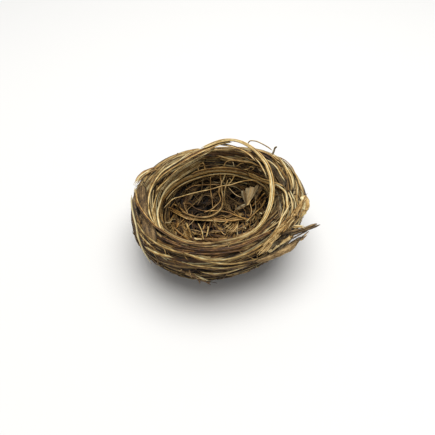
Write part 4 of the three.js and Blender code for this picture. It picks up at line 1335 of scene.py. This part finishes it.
# loose straws and rootlets in the cup and on its back wall: look, width in millimetres, tone, rows of x, y
# and z
cupStraws = [
    ("grass", 1.5, 0.64, [(-24.5, 2.4, 17.7), (-19.6, 2.9, 13), (-14.7, 2, 10.8), (-8.6, 2.4, 9.8),
                          (-2.5, 2.3, 9.6), (3.8, 2, 9.6), (7.9, 2.6, 9.8), (13.2, 2.8, 10.5),
                          (19.7, -1.3, 12.8)]),
    ("grass", 1.0, 0.62, [(-25.5, 2.7, 19.2), (-19.8, 4.4, 13.2), (-14.5, 3.2, 10.6), (-7.5, 3.6, 9.8),
                          (-0.5, 3.1, 9.6), (6.9, 1.6, 9.8), (15, 1.7, 10.8)]),
    ("grass", 0.9, 0.65, [(-7, 7.1, 11.1), (-2.2, 7.8, 11), (1.6, 7.7, 11), (6.2, 6.7, 11),
                          (10.2, 4.3, 11.1), (15.8, 0.4, 12.2)]),
    ("root", 0.45, 0.95, [(6.1, 19.1, 18.1), (10.4, 15, 16), (15.7, 12.2, 15.8), (17.8, 8.7, 15.4),
                         (18.3, 3.5, 14.6), (17.4, 1.2, 14)]),
    ("grass", 0.9, 0.5, [(24, 12.3, 22.4), (21.1, 12.3, 16.9), (18.5, 11, 14.1)]),
    ("grass", 1.0, 0.6, [(25.3, 9.8, 22.5), (22.1, 10.1, 16.6), (18.9, 8.7, 13.6)]),
    ("grass", 0.9, 0.4, [(25.8, 8, 21.4), (23.6, 8.6, 17.4), (21, 7.5, 15)]),
    ("grass", 0.8, 0.75, [(25.3, 5.7, 21.3), (23.8, 4.7, 17.6), (21.1, 3.6, 14.7), (18.2, 1.5, 12.9),
                          (15.3, -1.1, 11.8)]),
    ("root", 0.5, 0.75, [(-3.5, 20, 24.5), (-3.5, 17.4, 17.5), (-2.7, 13.5, 14.2), (-2.3, 8.5, 12.5)]),
    ("root", 0.5, 0.7, [(-16.7, 12.9, 21.6), (-11.9, 16.4, 21.7), (-4.6, 18.9, 20.1), (2.9, 19.5, 19.5)]),
    ("root", 0.8, 0.7, [(1.4, 22.3, 25), (1.8, 21.9, 23.3), (2.5, 20.5, 18.7), (3, 17, 15.5)]),
    ("grass", 0.8, 0.9, [(4.6, 22, 24.6), (4.2, 21.9, 23.7), (3, 20.8, 19.9)]),
    ("grass", 0.7, 0.85, [(9.5, 21.3, 24.5), (8, 20.8, 21), (5.8, 20.2, 18.4)]),
    ("root", 0.6, 0.7, [(6.6, 21.5, 22.6), (7.7, 21, 20.8), (4.9, 19.9, 17.4)]),
    ("root", 0.6, 0.85, [(1.3, 19.4, 18.2), (1.1, 16.6, 15.5), (2, 13.7, 13.5), (-0.4, 10.5, 12.5),
                         (-3, 8, 12), (-7, 5.7, 12)]),
    ("grass", 1.0, 0.7, [(-22.8, 6.8, 17.3), (-19.7, 6.5, 14.1), (-15.3, 4.4, 11.2), (-12.7, 2.9, 10.5)]),
    ("root", 0.6, 0.8, [(-17.8, 10.6, 15), (-17.4, 8.3, 13.5), (-15.2, 4.5, 11.3)]),
    ("root", 0.6, 0.6, [(-15.3, 10.8, 14.8), (-12, 8.7, 12.3), (-7.9, 7.7, 11.3), (-3.8, 7.8, 11)]),
    ("root", 0.6, 0.5, [(-11, 10.7, 11.8), (-8.1, 15.4, 13.6), (-5.9, 16.8, 14), (-2.2, 16.1, 12.9),
                        (-0.5, 14, 11.6)]),
    ("grass", 1.3, 0.68, [(-16.2, -1.3, 11.7), (-15.2, -4.9, 11.6), (-13.4, -9.9, 12), (-12.5, -15.5, 15)]),
    ("grass", 1.7, 0.45, [(-22.9, -4.3, 15), (-20.4, -4.7, 13), (-17.6, -5.5, 11.6)]),
    ("grass", 1.0, 0.6, [(-22.4, -7.9, 15.4), (-19.2, -10.5, 13.8), (-16.5, -13, 13.8), (-14, -17, 15.6)]),
    ("grass", 0.9, 0.65, [(-13.2, -6.4, 10.3), (-11.1, -8.4, 10.4), (-8.3, -9, 10.6)]),
    ("grass", 1.2, 0.97, [(-12.2, -12.8, 12.6), (-9.8, -14.6, 13.8), (-7.2, -16.5, 16)]),
    ("grass", 1.1, 0.5, [(-10, -9.2, 10.1), (-6, -9.4, 10), (-2, -8.3, 9.8)]),
    ("grass", 1.3, 0.72, [(-2.4, -10.8, 10.3), (3, -12.6, 11.6), (8, -12.5, 12.2)]),
    ("root", 0.5, 0.9, [(1.6, -4.6, 9.6), (3.2, -7.7, 10.1), (4.8, -9, 10.5)]),
    ("grass", 1.5, 0.8, [(11.2, -0.6, 10.6), (9.6, -4.3, 10.5), (6, -7.9, 10.4)]),
    ("grass", 1.0, 0.6, [(16.9, -2.1, 11.7), (13.7, -4, 10.8), (10.4, -5.2, 10.4), (6.8, -8.2, 10.2)]),
    ("grass", 1.5, 0.6, [(19.5, -6.8, 14), (15.5, -9, 12.6), (9, -11, 11.4)]),
    ("grass", 1.1, 0.45, [(3.8, 4.2, 9.9), (5.3, 1.2, 9.8), (2.7, -2.3, 9.6)]),
    ("grass", 1.6, 0.62, [(-4, -6.4, 9.6), (2, -5.6, 9.6), (8, -5.8, 10.0), (13, -6.6, 11.2)]),
    ("grass", 1.5, 0.66, [(-14, -13.4, 12.8), (-6, -13.8, 12.6), (2, -14.6, 13.2), (9, -14.2, 13.8)]),
    ("grass", 1.8, 0.60, [(1, -9.0, 10.0), (5, -11.8, 11.4), (8.6, -15.4, 14.4)]),
    ("grass", 1.5, 0.70, [(-21, -9.0, 15.8), (-20.4, -5.0, 14.2), (-20.8, -0.6, 14.4)]),
    ("grass", 1.6, 0.5, [(3.6, 11, 10.6), (6.3, 9, 10.5)]),
    ("root", 0.5, 0.85, [(3.5, 23.6, 28.3), (4.5, 24.3, 30.8), (6.5, 24.6, 32.1), (9.9, 24.1, 32.6),
                         (16.6, 21.9, 33)]),
    ("root", 0.5, 0.9, [(8.5, 24.1, 31.8), (9.2, 23.1, 29.1)]),
    ("root", 0.5, 0.8, [(10.6, 22.9, 29.4), (12.6, 23, 31.5), (14.4, 22.7, 32.2)]),
    ("root", 0.45, 0.95, [(14.1, 21.4, 28.8), (16.6, 20.5, 29.8), (18, 20.5, 31.4), (19.6, 19.4, 31.4),
                          (18, 19.6, 29.5)]),
    ("root", 0.45, 0.9, [(12.1, 24.2, 34), (15.1, 23.8, 35.1), (17.1, 22.7, 34.9), (19.7, 21.3, 35)]),
    ("root", 0.5, 0.6, [(21, 18.7, 32.1), (22.9, 17.3, 32.7), (24.5, 15.3, 32.3)]),
    ("root", 0.7, 0.9, [(-9.1, 22.5, 31), (-10.2, 22.2, 29.6), (-9.7, 21.2, 27.9)]),
    ("root", 0.7, 0.9, [(-7.4, 23.3, 31.7), (-6.7, 23, 29.8), (-6.4, 22.3, 27.7)]),
    ("root", 0.5, 0.65, [(-14.4, 20.3, 29.4), (-9.1, 22.7, 29.7), (-2.7, 24.2, 29.5), (2.8, 24.1, 28.1)]),
]
# the tail's other stems and sheaths, straws and flakes on the rim, pale chips on the floor that also stand
# in for glints as painted highlights, and a very pale straw on the leaf's tip as its painted highlight
looseStrands = [
    ("grass", 3.4, 0.84, [(22.1, -34.4, 29.5), (26.5, -31.5, 29.5), (30.4, -28.6, 29.6),
                          (33.8, -26.4, 29.8)]),
    ("grass", 0.8, 0.75, [(24.0, -33.6, 28.9), (28.3, -30.6, 28.9), (32.2, -27.6, 29.1),
                          (35.5, -25.7, 29.3)]),
    ("grass", 1.3, 0.20, [(26.0, -30.4, 31.0), (29.4, -27.7, 31.0), (32.8, -25.9, 31.0),
                          (35.2, -24.9, 31.0)]),
    ("bark", 0.5, 0.40, [(36.4, -28.7, 29.2), (38.3, -27.7, 29.5), (40.8, -25.6, 30.0),
                         (42.9, -23.7, 30.4)]),
    ("grass", 1.1, 0.85, [(39.2, -27.2, 29.6), (40.8, -25.9, 30.2), (42.4, -24.3, 30.8)]),
    ("grass", 1.6, 0.72, [(-6.3, 26.2, 39.8), (-2.6, 27.1, 40.4), (1.1, 28.0, 40.8), (4.7, 27.2, 40.8),
                          (8.9, 25.8, 40.6), (13.5, 23.4, 40.4), (17.5, 19.2, 40.2), (20.8, 14.0, 39.6)]),
    ("grass", 1.1, 0.88, [(-30, 12, 37.0), (-34.6, 10.6, 36.2), (-38.2, 7.4, 35.2), (-40.4, 2.4, 34.4)]),
    ("grass", 1.2, 0.66, [(-31, 14.4, 36.4), (-35.8, 13.2, 35.6), (-39.4, 10, 34.6), (-41.8, 5, 33.8)]),
    ("grass", 1.9, 0.16, [(18.6, 27.4, 37.1), (22.8, 26.2, 37.3), (26.7, 23.8, 37.3), (30.6, 19.7, 37.2)]),
    ("grass", 1.5, 0.26, [(17.6, 25.8, 37.5), (21.8, 24.4, 37.6), (25.6, 21.8, 37.5), (29.4, 17.7, 37.3)]),
    ("grass", 0.6, 0.85, [(17.0, 26.6, 38.4), (22.0, 25.4, 38.4), (27.0, 22.4, 38.2), (31.2, 17.6, 37.6)]),
    # pale chips, which also stand in for bright glints as painted highlights
    ("grass", 1.2, 1.0, [(-8, -2.1, 9.8), (-6.8, -2.1, 9.8)]),
    ("grass", 1.0, 1.0, [(22.8, 1.6, 15.6), (23.6, 1, 15.8)]),
    ("grass", 1.0, 1.0, [(14, -6, 12.4), (15, -6.4, 12.6)]),
    # painted highlight: a straw paler than the palest tone on the leaf's tip
    ("grass", 1.3, 1.8, [(15.9, 7.6, 15.1), (16.8, 8.4, 16.0), (17.9, 9.5, 17.7), (18.8, 10.3, 19.4)]),
]
looseForm = {"facing": (0, -0.3, 1), "warmth": 0.35, "roundBelow": 1.05, "sheetAbove": 2}


# wide strands are sheets like bark, narrow ones and rootlets are round, and the rest are blades
def looseParts(rng, look, width, tone, rows):
    route = partial(spaceRoute, rows, facing=looseForm["facing"])
    if look == "root" or width < looseForm["roundBelow"]:
        return stalkParts(rng, route, width, tone, stalkDetail, {})
    if look == "bark" or width > looseForm["sheetAbove"]:
        return barkParts(rng, route, width, tone, barkDetail, {})
    return bladeParts(rng, route, width, tone, bladeDetail, {})


for look, (material, slot) in looks.items():
    parts = []
    for kind, width, tone, rows in cupStraws + looseStrands:
        if kind == look:
            parts += looseParts(rng, look, width, tone, rows)
    for part in parts:
        part["warmth"] = looseForm["warmth"]
    piece = strandMesh(look + "CupStraws", parts, material)
    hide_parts("woven_wall")
print("loose straws in the cup made")

# A scrap is a few wide short sheets: a sheet's width follows a few values along it, and waves crumple it.
# The husk's four fan out from where the torn strips end, and the leaf's six from its tip on the cup's floor.
scraps = {
    "leaf_fragment": [
        dict(look="bark", tone=0.62, facing=(-0.3, -0.45, 0.9), thick=0.2, crumple=0.2,
             widths=[0.4, 1.8, 2.6, 1.6],
             rows=[(15.8, 9.8, 14.4), (14.9, 11.5, 16.7), (14.3, 13.0, 18.6), (13.9, 14.0, 20.2)]),
        dict(look="bark", tone=0.92, facing=(-0.1, -0.45, 0.9), thick=0.2, crumple=0.2,
             widths=[0.4, 2.0, 2.8, 2.0],
             rows=[(16.2, 9.6, 14.4), (16.2, 11.6, 17.0), (16.4, 13.4, 19.4), (16.4, 14.8, 21.4)]),
        dict(look="bark", tone=1.10, facing=(0.0, -0.45, 0.9), thick=0.2, crumple=0.2,
             widths=[0.5, 2.0, 3.0, 2.4],
             rows=[(16.6, 9.5, 14.5), (17.3, 11.5, 17.3), (18.2, 13.3, 19.8), (18.9, 15.0, 22.0)]),
        dict(look="bark", tone=0.84, facing=(0.15, -0.45, 0.9), thick=0.2, crumple=0.2,
             widths=[0.4, 1.6, 2.6, 1.2],
             rows=[(17.0, 9.8, 14.7), (18.6, 11.8, 17.5), (20.4, 13.8, 20.4), (21.9, 15.4, 23.0)]),
        dict(look="bark", tone=0.66, facing=(0.1, -0.4, 0.9), thick=0.2, crumple=0.15,
             widths=[0.9, 2.2, 1.9, 0.6],
             rows=[(16.2, 10.2, 14.0), (14.1, 9.6, 12.9), (11.9, 8.9, 12.1), (10.0, 8.4, 11.6)]),
        dict(look="bark", tone=0.55, facing=(-0.2, -0.45, 0.9), thick=0.25, crumple=0.2,
             widths=[0.6, 1.6, 2.4, 2.6],
             rows=[(20.6, 10.4, 16.8), (22.0, 12.0, 19.6), (23.4, 13.2, 22.6), (24.4, 13.8, 25.0)])],
    "husk_scrap": [
        dict(look="grass", tone=0.80, facing=(0.1, -0.6, 0.8), thick=0.25, crumple=0.12,
             widths=[2.4, 4.4, 4.4, 3.4],
             rows=[(42.0, -12.4, 32.8), (42.6, -10.2, 33.4), (42.4, -7.4, 34.2), (41.6, -5.2, 34.8)]),
        dict(look="grass", tone=0.80, facing=(0.1, -0.6, 0.8), thick=0.25, crumple=0.15,
             widths=[1.2, 2.2, 2.6, 1.6],
             rows=[(40.2, -12.1, 33.0), (40.6, -9.0, 34.0), (40.0, -6.0, 34.8)]),
        dict(look="grass", tone=0.74, facing=(0.2, -0.6, 0.7), thick=0.25, crumple=0.15,
             widths=[1.2, 1.8, 2.0, 1.2],
             rows=[(40.8, -14.0, 31.6), (42.6, -12.2, 32.6), (44.2, -10.2, 33.6)]),
        dict(look="grass", tone=0.72, facing=(0.2, -0.6, 0.7), thick=0.25, crumple=0.15,
             widths=[0.8, 1.2, 1.3, 0.9],
             rows=[(39.4, -15.6, 30.6), (41.2, -14.2, 31.4), (42.8, -13.0, 31.8)])],
}


scrapDetail = {
    "points": 30, "corners": 22, "ribs": 5, "ribHeight": 0.06, "uneven": 0.07, "unevenWaves": 16,
    "twist": 0.2, "twistWaves": 3, "edgeDark": 0.25, "broadWave": 3.1, "broadDrift": 5, "narrowWave": 7.3,
    "narrowPhase": 3, "narrowShare": 0.5, "crumpleShare": 0.5,
}


# crumpled by two sine waves across the sheet, the broad one drifting along it
def scrapParts(rng, scrap, detail, touch):
    points = detail["points"]
    centre, face = spaceRoute(scrap["rows"], points, scrap["facing"])
    widths = alongStrand(scrap["widths"], points)[None]
    widths = widths * (1 + detail["uneven"] * wander(rng, 1, points, detail["unevenWaves"]))
    thick = np.full((1, points), scrap["thick"])
    twist = detail["twist"] * wander(rng, 1, points, detail["twistWaves"])
    shape, offset, rim = strandShape(centre[None], face[None], widths, thick, detail["corners"],
                                     ribs=detail["ribs"], ribHeight=detail["ribHeight"], twist=twist,
                                     edgeDark=detail["edgeDark"])
    across = offset / (widths[..., None] / 2)
    drift = detail["broadDrift"] * np.linspace(0, 1, points)[None, :, None]
    waves = (np.sin(detail["broadWave"] * across + drift)
             + detail["narrowShare"] * np.sin(detail["narrowWave"] * across - detail["narrowPhase"]))
    crease = scrap["crumple"] * waves * detail["crumpleShare"]
    shape = shape + face[None, :, None] * crease[..., None]
    shade = np.ones((1, points, 1)) * rim
    return [strandPart(shape, offset, np.array([scrap["tone"]]), shade, touch.get("warmth", 0.0))]


for node, sheets in scraps.items():
    parts = []
    for sheet in sheets:
        parts += scrapParts(rng, sheet, scrapDetail, touches.get(node, {}))
    addNamed(node, parts, sheets[0]["look"])
print("scraps made")
